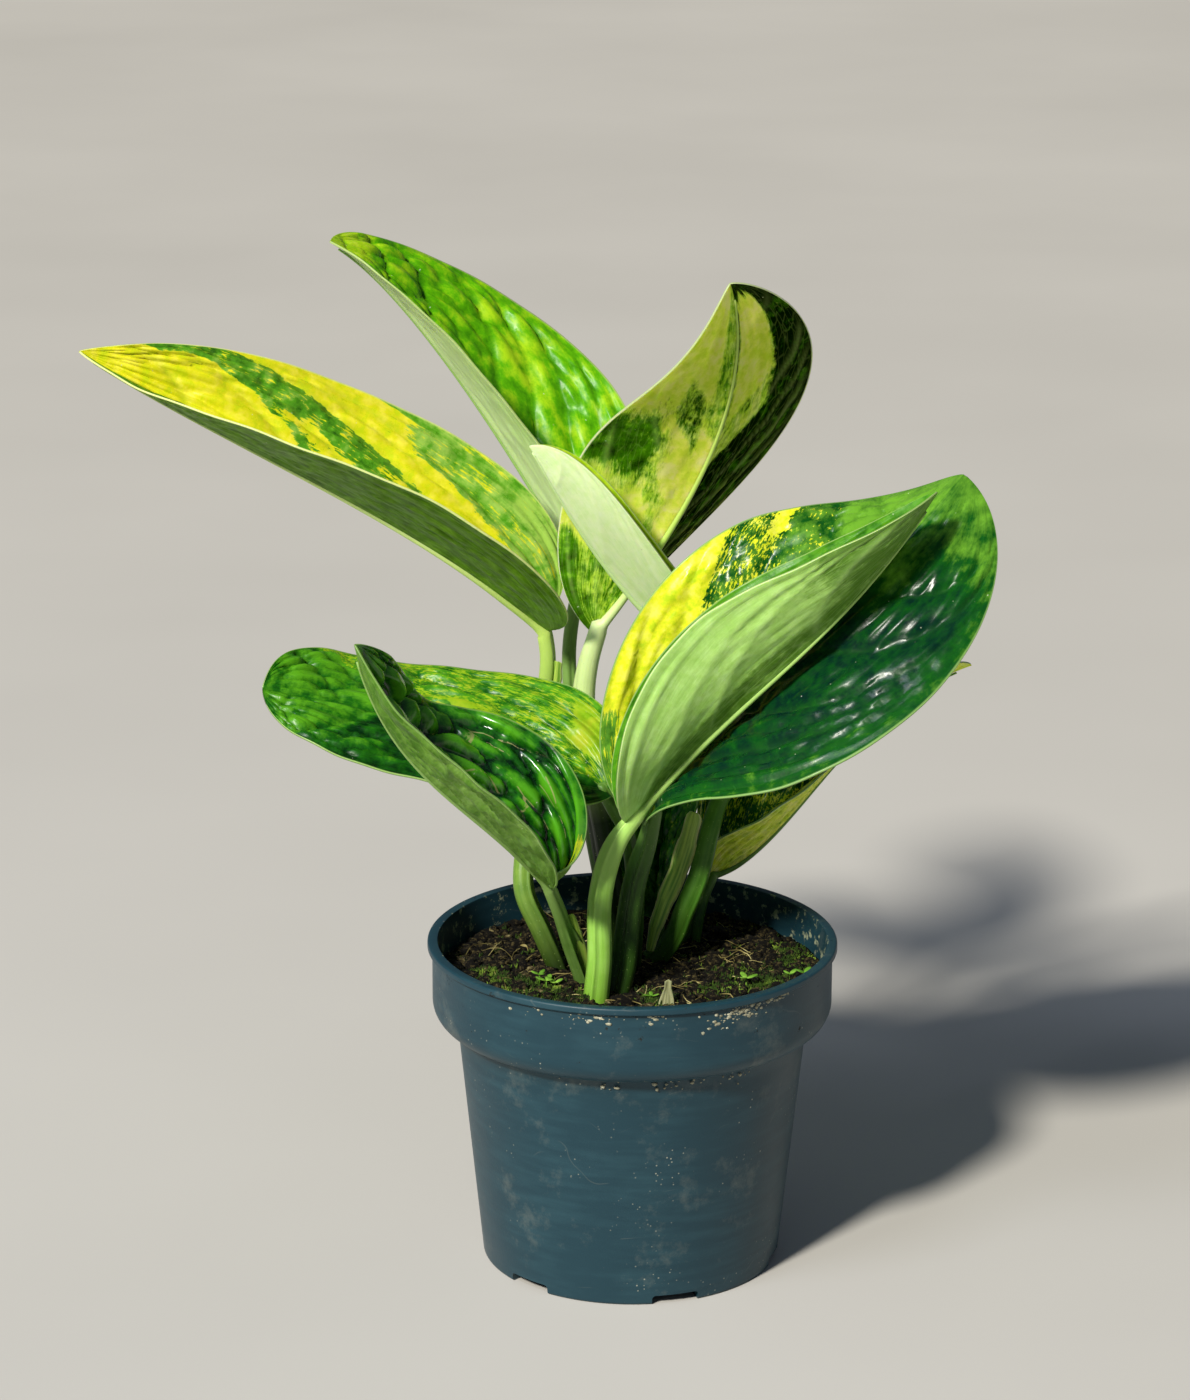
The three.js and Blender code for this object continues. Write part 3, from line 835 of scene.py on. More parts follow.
class Leaf:
    """A leaf that grew as one piece: blade, midrib and petiole."""

    BLADE_COLUMNS = 76
    BLADE_ROWS = 150
    BLADE_SPAN = (0.0004, 0.9998)
    BLADE_THICKNESS = 0.55
    SHEATH_THICKNESS = 0.3
    STALK_SIDES = 40
    STALK_ROWS = 64
    RIB_ROWS = 48
    RIB_END = 0.96
    RIB_TIP_RADIUS = 0.3
    LOBE_REACH = 0.18
    LEAST_CUP = 1e-3
    GROOVE_HALF_WIDTH = 0.8
    STRIP_WIDTHS = (3.0, 30.0)
    SWELL_SIZE = 11.0
    STEP_ALONG = 0.01
    STEP_LATERAL = 0.004
    RIBBON_GRID = (8, 40)

    def __init__(self, plan: LeafPlan) -> None:
        """Keeps the plan, and works out the blade's length."""
        self.plan = plan
        t = np.linspace(0, 1, 60)
        line = self.midrib_frame(t)[0]
        self.length = float(np.linalg.norm(np.diff(line, axis=0), axis=-1).sum())

    def build(self) -> bpy.types.Object:
        """Makes the leaf and puts it in the place of its CAD node.

        Returns:
            The leaf.
        """
        blade = self.blade()
        stalk = self.stalk()
        strips = [self.ribbon(number, strip) for number, strip in enumerate(self.plan.ribbons)]
        leaf = joined(self.plan.name, [blade, stalk, *strips])
        return settle(leaf, self.plan.slot, self.plan.node)

    def midrib_frame(self, t: np.ndarray) -> tuple[np.ndarray, np.ndarray, np.ndarray, np.ndarray]:
        """Gives the midrib's places and directions.

        Args:
            t: Places along the midrib, from 0 at the base to 1 at the tip.

        Returns:
            Places, and unit vectors along, across to the right and out of the upper face.
        """
        p = np.array(self.plan.midrib, float)
        t = np.asarray(t, float)[..., None]
        place = (1 - t) ** 3 * p[0] + 3 * (1 - t) ** 2 * t * p[1] + 3 * (1 - t) * t ** 2 * p[2] + t ** 3 * p[3]
        along = unit((1 - t) ** 2 * (p[1] - p[0]) + 2 * (1 - t) * t * (p[2] - p[1]) + t ** 2 * (p[3] - p[2]))
        level = unit(np.cross(p[3] - p[0], (0, 0, 1)))
        level = unit(level - (along @ level)[..., None] * along)
        raised = np.cross(level, along)
        roll = np.radians(through_three(self.plan.roll, t))
        across = np.cos(roll) * level + np.sin(roll) * raised
        out = np.cos(roll) * raised - np.sin(roll) * level
        return place, along, across, out

    def outline(self, t: np.ndarray) -> np.ndarray:
        """Gives the blade's half width.

        Args:
            t: Places along, from 0 to 1.

        Returns:
            Half widths as shares of the greatest one.
        """
        base, tip = self.plan.fullness
        widest = base / (base + tip)
        return t ** base * (1 - t) ** tip / (widest ** base * (1 - widest) ** tip)

    def sheet(self, at: Spots) -> np.ndarray:
        """Gives the blade's middle surface, before its relief.

        Args:
            at: Places on the blade.

        Returns:
            One point for each place, in millimetres.
        """
        plan = self.plan
        place, along, across, out = self.midrib_frame(at.t)
        width = at.pick(plan.half_widths) * self.outline(at.t)
        folds = [through_three(values, at.t) for values in (plan.fold_left, plan.fold_right)]
        fold = np.radians(at.pick(folds))
        cups = [base + (tip - base) * at.t for base, tip in (plan.cup_left, plan.cup_right)]
        cup = np.radians(at.pick(cups) + self.LEAST_CUP)
        sideways = (np.sin(fold + cup * at.reach) - np.sin(fold)) / cup
        raised = (np.cos(fold) - np.cos(fold + cup * at.reach)) / cup
        back = plan.lobe * np.exp(-((at.t / self.LOBE_REACH) ** 2)) * at.reach ** 2
        return (
            place
            + (at.side * width * sideways)[..., None] * across
            + (width * raised)[..., None] * out
            - back[..., None] * along
        )

    def sheet_normal(self, at: Spots) -> np.ndarray:
        """Gives the directions out of the upper face, softened across the midrib.

        Args:
            at: Places on the blade.

        Returns:
            One unit vector for each place.
        """
        step = self.STEP_ALONG
        before, after = np.clip(at.t - step, 0.002, 1), np.clip(at.t + step, 0, 0.998)
        near, far = at.reach - step / 2, at.reach + step / 2
        along = self.sheet(replace(at, t=after)) - self.sheet(replace(at, t=before))
        across = self.sheet(replace(at, reach=far)) - self.sheet(replace(at, reach=near))
        face = unit(np.cross(across, along) * at.side[..., None])
        share = smooth_step(0.0, 0.08, at.reach)[..., None]
        return unit(self.midrib_frame(at.t)[3] * (1 - share) + face * share)

    def lateral_place(self, at: Spots) -> np.ndarray:
        """Tells which lateral runs through each place.

        Args:
            at: Places on the blade.

        Returns:
            Where on the midrib the lateral leaves, or a value below 0 for one that leaves at the base.
        """
        swept = at.pick(self.plan.sweep) * at.reach ** at.pick(self.plan.bend)
        start = (at.t - swept) / (1 - swept)
        return np.where(start < 0, start / (1 - np.minimum(start, 0)), start)

    def lateral_gap(self, at: Spots) -> np.ndarray:
        """Gives how far apart the laterals lie.

        Args:
            at: Places on the blade.

        Returns:
            The distance square to the laterals in millimetres, for a step of 1 in lateral_place.
        """
        step = self.STEP_LATERAL
        near, far = np.clip(at.reach - step, 0, 1), np.clip(at.reach + step, 0, 1)
        before, after = np.clip(at.t - step, 0.001, 0.999), np.clip(at.t + step, 0.001, 0.999)
        out = self.lateral_place(replace(at, reach=far)) - self.lateral_place(replace(at, reach=near))
        on = self.lateral_place(replace(at, t=after)) - self.lateral_place(replace(at, t=before))
        width = at.pick(self.plan.half_widths) * self.outline(at.t)
        slope = np.hypot(out / (far - near) / np.maximum(width, 2.0), on / (after - before) / self.length)
        return 1 / np.maximum(slope, 1e-4)

    def strips(self, at: Spots, laterals: np.ndarray) -> np.ndarray:
        """Counts the strips between laterals, with an uneven spacing.

        Args:
            at: Places on the blade.
            laterals: What lateral_place gives there.

        Returns:
            Counts, of which a whole number is on a lateral.
        """
        count = laterals * at.pick(self.plan.quilting.laterals)
        return count + 0.16 * np.sin(2.3 * count + self.plan.seed) + 0.3 * at.side

    def relief(self, at: Spots, laterals: np.ndarray, grain: np.ndarray) -> tuple[np.ndarray, np.ndarray]:
        """Gives the blade's height over its smooth sheet, and how near each place is to a lateral.

        Args:
            at: Places on the blade.
            laterals: What lateral_place gives there.
            grain: What grain gives there.

        Returns:
            Heights in millimetres, and shares from 0 between laterals to 1 on them.
        """
        made = self.plan.quilting
        seed = self.plan.seed
        strip = self.strips(at, laterals)
        gap = np.abs(strip - np.round(strip))
        spacing = self.lateral_gap(at) / at.pick(made.laterals)
        away = gap * np.clip(spacing, *self.STRIP_WIDTHS)
        groove = np.exp(-((away / self.GROOVE_HALF_WIDTH) ** 2))

        # Pillows between the laterals, parted by cross veins, and blisters over them
        swell = np.sin(np.pi * gap) ** 0.75
        bowl = soft_noise(grain, self.SWELL_SIZE, seed)
        turns = grain[..., 1] / made.blister_size + 0.37 * np.floor(strip) + 0.55 * bowl
        row = 1 - made.crumple * (0.5 + 0.5 * np.cos(2 * np.pi * turns)) ** 1.5
        lumps = bubbles(grain * (1, 0.75, 1), made.blister_size, seed) - 0.5
        height = made.pillow * swell * row * (1 + 0.5 * bowl) + made.blister * lumps
        height = (height - made.groove * groove) * at.pick((made.left_share, 1.0))

        # It fades out at the margin and at both ends, where the sheet is left as the CAD has it
        inside = smooth_step(0.0, 0.12, at.reach) * (1 - smooth_step(0.86, 0.99, at.reach))
        inside = inside * smooth_step(0.0, 0.1, at.t) * (1 - smooth_step(0.84, 1.0, at.t))
        fade = smooth_step(0.05, 0.25, at.t) * (1 - smooth_step(0.85, 1.0, at.t))
        belly = made.belly * np.sin(np.pi * at.reach) * fade
        channel = made.midrib * np.exp(-((at.reach / 0.05) ** 2)) * smooth_step(0.0, 0.1, at.t)
        channel = channel * (1 - smooth_step(0.8, 1.0, at.t))
        ripple = np.sin(2 * np.pi * (3.1 * at.t + 0.13 * seed)) + 0.6 * np.sin(2 * np.pi * 6.7 * at.t)
        wave = made.wave * ripple * at.reach ** 4 * fade
        return height * inside - belly - channel + wave, groove * inside

    def painted(self, at: Spots, laterals: np.ndarray, grain: np.ndarray) -> np.ndarray:
        """Lays the plan's patches over the blade.

        Args:
            at: Places on the blade.
            laterals: What lateral_place gives there.
            grain: What grain gives there.

        Returns:
            For each place its pull towards yellow, its tone from dark -1 to light 1, and its corkiness.
        """
        wander = 0.03 * soft_noise(grain, 9.0, self.plan.seed + 2)
        paint = np.zeros((*at.t.shape, 3)) + np.array([self.plan.yellow, 0.0, 0.0])
        for patch in self.plan.patches:
            mask = window(laterals + wander, patch.laterals, patch.soft)
            mask = mask * window(at.reach + wander, patch.reach, 2 * patch.soft)
            mask = mask * window(at.t + wander, patch.along, patch.soft) * (at.side == patch.half.value)
            laid = np.array([patch.yellow, patch.tone, patch.cork])
            paint = paint + mask[..., None] * (laid - paint)
        # The noise of the skin spreads by about 0.09, so this pull gives the share asked for
        over = paint[..., 0] - 0.5
        paint[..., 0] = 0.2 * over + 2.0 * over ** 3
        return paint

    def grain(self, at: Spots, laterals: np.ndarray) -> np.ndarray:
        """Gives places for noise that follows the laterals.

        Args:
            at: Places on the blade.
            laterals: What lateral_place gives there.

        Returns:
            Millimetres across and along the laterals, and a third value of this leaf's own.
        """
        sweep = at.pick(self.plan.sweep) * self.length
        width = at.pick(self.plan.half_widths)
        lateral = np.hypot(width, sweep)
        across = laterals * (self.length - 0.5 * sweep) * 1.3 * width / lateral
        own = np.full(at.t.shape, 61.0 * self.plan.seed)
        return np.stack([across + 200 * at.side, at.reach * lateral, own], axis=-1)

    def blade(self) -> bpy.types.Object:
        """Makes the blade: a waved sheet with its relief and paint, given its thickness.

        Returns:
            The blade as an object of its own.
        """
        made, spot = sheet_grid(self.BLADE_COLUMNS, self.BLADE_ROWS)
        even = spot[:, 1]
        share = 0.12 * even + 0.88 * (0.5 - 0.5 * np.cos(np.pi * even))
        t = self.BLADE_SPAN[0] + (self.BLADE_SPAN[1] - self.BLADE_SPAN[0]) * share
        signed = 2 * spot[:, 0] - 1
        side = np.where(signed < 0, -1.0, 1.0)
        reach = np.abs(signed)
        reach = 0.55 * reach + 0.45 * (0.5 - 0.5 * np.cos(np.pi * reach))
        at = Spots(t, reach, side)
        laterals = self.lateral_place(at)
        grain = self.grain(at, laterals)
        height, vein = self.relief(at, laterals, grain)
        paint = self.painted(at, laterals, grain)
        # Painted shade and light: the tone follows the relief's height, darker in the creases and lighter on
        # the domes, over the creases' own darker green
        paint[:, 1] += self.plan.quilting.shade * np.clip(height / 1.5, -1, 1)
        move_to(made, self.sheet(at) + height[:, None] * self.sheet_normal(at))
        width = at.pick(self.plan.half_widths) * self.outline(t)
        write_layer(made, "grain", grain)
        write_layer(made, "flat", np.stack([t * self.length, side * reach * width, grain[:, 2]], axis=-1))
        write_layer(made, "place", np.stack([side * reach, t, vein], axis=-1))
        write_layer(made, "paint", paint)
        plan = self.plan
        rim = LeafSkin(f"{plan.name}_margin", *[plan.upper.margin] * 8)
        skins = [plan.upper.build(), plan.under.build(), rim.build()]
        blade = mesh_object(f"{plan.name}_blade", made, skins)
        return thickened(blade, self.BLADE_THICKNESS, materials=True)

    def stem_line(self, count: int) -> np.ndarray:
        """Runs a smooth line through the petiole's knots.

        Args:
            count: How many points.

        Returns:
            Points of its centre line from the foot to the blade, evenly spaced.
        """
        knots = np.array([*reversed(self.plan.stem), self.plan.midrib[0]], float)
        ends = np.vstack([2 * knots[0] - knots[1], knots, 2 * knots[-1] - knots[-2]])
        gaps = np.sqrt(np.linalg.norm(np.diff(ends, axis=0), axis=-1))
        fine = []
        for at in range(1, len(ends) - 2):
            a, b, c, d = ends[at - 1:at + 3]
            before, here, after = gaps[at - 1:at + 2]
            leave = ((b - a) / before - (c - a) / (before + here) + (c - b) / here) * here
            enter = ((c - b) / here - (d - b) / (here + after) + (d - c) / after) * here
            u = np.linspace(0, 1, 24, endpoint=False)[:, None]
            cubic = 2 * b - 2 * c + leave + enter
            square = -3 * b + 3 * c - 2 * leave - enter
            fine.append(b + leave * u + square * u ** 2 + cubic * u ** 3)
        line = np.vstack([*fine, knots[-1:]])
        way = walked(line)
        wanted = np.linspace(0, way[-1], count)
        return np.stack([np.interp(wanted, way, line[:, axis]) for axis in range(3)], axis=-1)

    def stalk(self) -> bpy.types.Object:
        """Makes the petiole with its groove and sheath wings, run on as the rib under the blade.

        Returns:
            The petiole as an object of its own.
        """
        plan = self.plan
        stem = self.stem_line(self.STALK_ROWS + 1)
        steps = np.linspace(0, 1, self.RIB_ROWS + 1)[1:]
        place, _, _, out = self.midrib_frame(steps * self.RIB_END)
        top_radius, foot_radius = plan.stem_radii
        stem_share = np.linspace(0, 1, self.STALK_ROWS + 1)
        stem_radius = foot_radius + (top_radius - foot_radius) * stem_share
        rib_radius = top_radius * 0.7 + (self.RIB_TIP_RADIUS - top_radius * 0.7) * steps ** 0.4
        sunk = 0.5 * rib_radius + self.plan.quilting.midrib * smooth_step(0.0, 0.1, steps * self.RIB_END)
        centres = np.vstack([stem, place - out * sunk[:, None]])
        radii = np.concatenate([stem_radius, rib_radius])
        share = np.concatenate([stem_share, 1 + steps])
        along = unit(np.gradient(centres, axis=0))
        faces = self.carried(along, out[0], len(stem) - 1)
        way = walked(centres)

        made, spot = sheet_grid(self.STALK_SIDES, len(centres) - 1)
        row = np.round(spot[:, 1] * (len(centres) - 1)).astype(int)
        turn = 2 * np.pi * (spot[:, 0] % 1.0) - np.pi
        # Rings crowd towards the groove and the wings beside it, at turn 0
        turn = turn - 0.55 * np.sin(turn)
        radius = radii[row] * self.section(turn, share[row], radii[row])
        level = np.cross(along, faces)
        ring = np.cos(turn)[:, None] * faces[row] + np.sin(turn)[:, None] * level[row]
        move_to(made, centres[row] + radius[:, None] * ring)
        own = 31.0 * plan.seed
        grain = np.stack([radii[row] * np.cos(turn), way[row], radii[row] * np.sin(turn) + own], axis=-1)
        write_layer(made, "grain", grain)
        write_layer(made, "place", np.stack([np.zeros(len(row)), share[row], np.zeros(len(row))], axis=-1))
        bmesh.ops.remove_doubles(made, verts=made.verts, dist=MERGE_DISTANCE)
        bmesh.ops.holes_fill(made, edges=made.edges, sides=0)
        bmesh.ops.recalc_face_normals(made, faces=made.faces)
        return mesh_object(f"{plan.name}_stalk", made, [plan.stalk.build()])

    def carried(self, along: np.ndarray, out: np.ndarray, blade_row: int) -> np.ndarray:
        """Carries the direction of the upper face along the stalk without twist.

        Args:
            along: Unit vectors along the stalk, one for each ring.
            out: The upper face's direction where the blade begins.
            blade_row: The ring at the blade's base.

        Returns:
            For each ring the direction that its groove faces.
        """
        faces = np.zeros_like(along)
        faces[blade_row] = unit(out - (out @ along[blade_row]) * along[blade_row])
        for row in range(blade_row - 1, -1, -1):
            faces[row] = unit(faces[row + 1] - (faces[row + 1] @ along[row]) * along[row])
        for row in range(blade_row + 1, len(along)):
            faces[row] = unit(faces[row - 1] - (faces[row - 1] @ along[row]) * along[row])
        return faces

    def ribbon(self, number: int, strip: Ribbon) -> bpy.types.Object:
        """Makes one torn strip of the sheath: a thin curled sheet, ragged at its free end.

        Args:
            number: Its number on this leaf.
            strip: Its line and widths.

        Returns:
            The strip as an object of its own.
        """
        made, spot = sheet_grid(*self.RIBBON_GRID)
        share, across = spot[:, 1], 2 * spot[:, 0] - 1
        knots = np.array(strip.line, float)
        at = np.linspace(0, 1, len(knots))
        weights = [smooth_step(0, 1, 1 - np.abs(share * (len(knots) - 1) - k)) for k in range(len(knots))]
        total = np.sum(weights, axis=0)
        centre = np.sum([w[:, None] * knot for w, knot in zip(weights, knots)], axis=0) / total[:, None]
        slope = np.stack([np.interp(share, at, np.gradient(knots[:, axis], at)) for axis in range(3)], axis=-1)
        facing = np.broadcast_to(unit(np.array(strip.facing, float)), centre.shape)
        level = unit(np.cross(unit(slope), facing))
        width = through_three(strip.widths, share) * 0.5 * (1 - smooth_step(0.93, 1.02, share) * 0.8)
        ragged = 1 + 0.1 * np.sin(23 * share + 5 * self.plan.seed) * np.abs(across) * share
        depth = strip.curl * width * across ** 2
        places = centre + level * (width * across * ragged)[:, None] - facing * depth[:, None]
        move_to(made, places)
        own = 17.0 * self.plan.seed
        reach = share * float(np.linalg.norm(np.diff(knots, axis=0), axis=-1).sum())
        write_layer(made, "grain", np.stack([across * 2, reach, np.full(len(share), own)], axis=-1))
        write_layer(made, "place", np.stack([across, 0.5 + 0.5 * share, share * 0], axis=-1))
        sheath = mesh_object(f"{self.plan.name}_sheath_{number}", made, [SheathSkin().build()])
        return thickened(sheath, self.SHEATH_THICKNESS)

    def section(self, turn: np.ndarray, share: np.ndarray, radii: np.ndarray) -> np.ndarray:
        """Shapes the stalk's section: a groove in its upper face, with a wing of the sheath on either side.

        Args:
            turn: Angles round the section, with 0 in the groove.
            share: Places along, from 0 at the foot to 1 at the blade.
            radii: Mean radii in millimetres.

        Returns:
            Radii as shares of the mean ones.
        """
        plan = self.plan
        open_part = 1 - smooth_step(0.98, 1.05, share)
        groove = 0.26 * np.exp(-((turn / 0.42) ** 2)) * open_part
        winged = smooth_step(0.0, 0.12, share) * (1 - smooth_step(plan.sheath - 0.25, plan.sheath, share))
        wing = np.exp(-(((np.abs(turn) - 0.62) / 0.13) ** 2)) * winged * plan.wing / radii
        return 1 - groove + wing


# Pot, potting mix and what lies on it

@dataclass
class NurseryPot:
    """The thin moulded pot with its collar, lip and drain slots. Its sizes are the CAD model's."""

    rim_radius: float = 60.0
    height: float = 97.4
    lip_height: float = 2.4
    lip_stand_out: float = 1.4
    collar_height: float = 24.5
    collar_bullnose: float = 6.5
    body_top_radius: float = 51.4
    base_radius: float = 43.9
    wall: float = 1.6
    floor_thickness: float = 1.8
    base_bevel: float = 0.9
    drain_count: int = 6
    drain_width: float = 14.0
    drain_height: float = 2.8
    drain_reach: float = 7.0
    first_drain_angle: float = math.radians(-73)
    slot_rounding: float = 1.0
    lip_rounding: float = 0.7
    sharp_angle: float = math.radians(35)
    steps: int = 168
    finish: MouldedPolypropylene = MouldedPolypropylene()

    def profile(self) -> list[Ends]:
        """Draws the pot's section.

        Returns:
            Radii and heights from the base's centre, up the outside and back down the inside.
        """
        foot = self.height - self.collar_height
        collar = self.rim_radius - self.lip_stand_out
        centre = collar - self.collar_bullnose
        nose = [(centre + self.collar_bullnose * math.cos(a), foot + self.collar_bullnose * (1 + math.sin(a)))
                for a in (math.radians(angle) for angle in range(-90, 1, 9))]
        lip_foot = self.height - self.lip_height
        bevel = self.base_bevel
        quarter = [math.radians(angle) for angle in range(0, 91, 18)]
        corner = [(self.base_radius - bevel * (1 - math.sin(a)), bevel * (1 - math.cos(a))) for a in quarter]
        lip = self.lip_rounding
        round_lip = [(self.rim_radius - lip + lip * math.cos(a), self.height - lip + lip * math.sin(a))
                     for a in quarter]
        body = [(self.base_radius + (self.body_top_radius - self.base_radius) * k / 12,
                 bevel + (foot - bevel) * k / 12) for k in range(1, 12)]
        return [
            (0.0, 0.0), (20.0, 0.0), (38.0, 0.0), *corner, *body,
            (self.body_top_radius - 0.15, foot - 0.5), (self.body_top_radius + 0.25, foot), *nose,
            (collar, foot + 11), (collar, lip_foot - 3), (collar, lip_foot - 0.3), (collar + 0.3, lip_foot),
            (self.rim_radius - 0.3, lip_foot + 0.3), (self.rim_radius, lip_foot + 0.6), *round_lip,
            (collar - self.wall + 0.5, self.height), (collar - self.wall + 0.1, self.height - 0.15),
            (collar - self.wall, self.height - 0.6), (collar - self.wall - 0.3, foot + 14),
            (collar - self.wall - 0.6, foot + self.collar_bullnose),
            (self.body_top_radius - self.wall, foot + self.wall),
            (self.base_radius - self.wall, self.floor_thickness), (0.0, self.floor_thickness),
        ]

    def build(self) -> bpy.types.Object:
        """Turns the pot and cuts its drain slots.

        Returns:
            The pot.
        """
        pot = mesh_object("nursery_pot_turned", turned(self.profile(), self.steps), [self.finish.build()])
        cutter = self.drain_cutter()
        cut = pot.modifiers.new("drains", "BOOLEAN")
        cut.operation = "DIFFERENCE"
        cut.solver = "EXACT"
        cut.object = cutter
        with_modifiers_applied(pot)
        pot.data.shade_smooth()
        pot.data.set_sharp_from_angle(angle=self.sharp_angle)
        bpy.data.objects.remove(cutter)
        return settle(pot, "pot_plastic", "nursery_pot")

    def drain_cutter(self) -> bpy.types.Object:
        """Makes the blocks that cut the slots through the corner of wall and floor.

        Returns:
            The blocks as one object, to be removed after the cut.
        """
        made = bmesh.new()
        for count in range(self.drain_count):
            angle = self.first_drain_angle + 2 * math.pi * count / self.drain_count
            size = Matrix.Diagonal((2 * self.drain_reach * MM, self.drain_width * MM,
                                    2 * self.drain_height * MM, 1))
            turn = Matrix.Rotation(angle, 4, "Z") @ Matrix.Translation((self.base_radius * MM, 0, 0))
            block = bmesh.ops.create_cube(made, size=1, matrix=turn @ size)
            rims = list({edge for vertex in block["verts"] for edge in vertex.link_edges})
            bmesh.ops.bevel(made, geom=rims, offset=self.slot_rounding * MM, offset_type="OFFSET", segments=3,
                            profile=0.5, affect="EDGES", material=-1)
        return mesh_object("drain_cutter", made, [])


@dataclass
class PottingMix:
    """The dark peaty mix that fills the pot, with a crumbly top."""

    level: float = 87.0
    relief: float = 0.9
    floor: float = 2.15
    foot_radius: float = 41.95
    shoulder: Ends = (49.45, 74.7)
    collar: Ends = (56.0, 79.6)
    rings: int = 64
    steps: int = 200
    finish: LooseMatter = LooseMatter("peat_mix", ("#020201", "#0b0905", "#37301c"), 1.6)

    def height(self, x: float, y: float) -> float:
        """Gives the level of the mix: low swells, clods and crumbs.

        Args:
            x: Place to the right in millimetres.
            y: Place to the back in millimetres.

        Returns:
            Height above the pot's base in millimetres.
        """
        swell = math.sin(x / 7 + 1.3) * math.cos(y / 9) + 0.6 * math.sin((x + 2 * y) / 11)
        clods = noise.noise(Vector((x / 6, y / 6, 0.3)))
        crumbs = noise.noise(Vector((x / 1.9, y / 1.9, 4.1)))
        return self.level + self.relief * 0.5 * swell + 0.9 * clods + 0.55 * crumbs

    def build(self) -> bpy.types.Object:
        """Turns the mix's body and roughens its top.

        Returns:
            The mix.
        """
        section = [(0.0, self.floor), (self.foot_radius, self.floor), self.shoulder, self.collar]
        reach = self.collar[0]
        section += [(reach * ring / self.rings, self.level) for ring in range(self.rings, -1, -1)]
        made = turned(section, self.steps)
        for vertex in made.verts:
            if vertex.co.z > (self.level - 0.1) * MM:
                vertex.co.z = self.height(vertex.co.x / MM, vertex.co.y / MM) * MM
        mix = mesh_object("peat_bed", made, [self.finish.build()])
        return settle(mix, "potting_mix", "potting_mix")


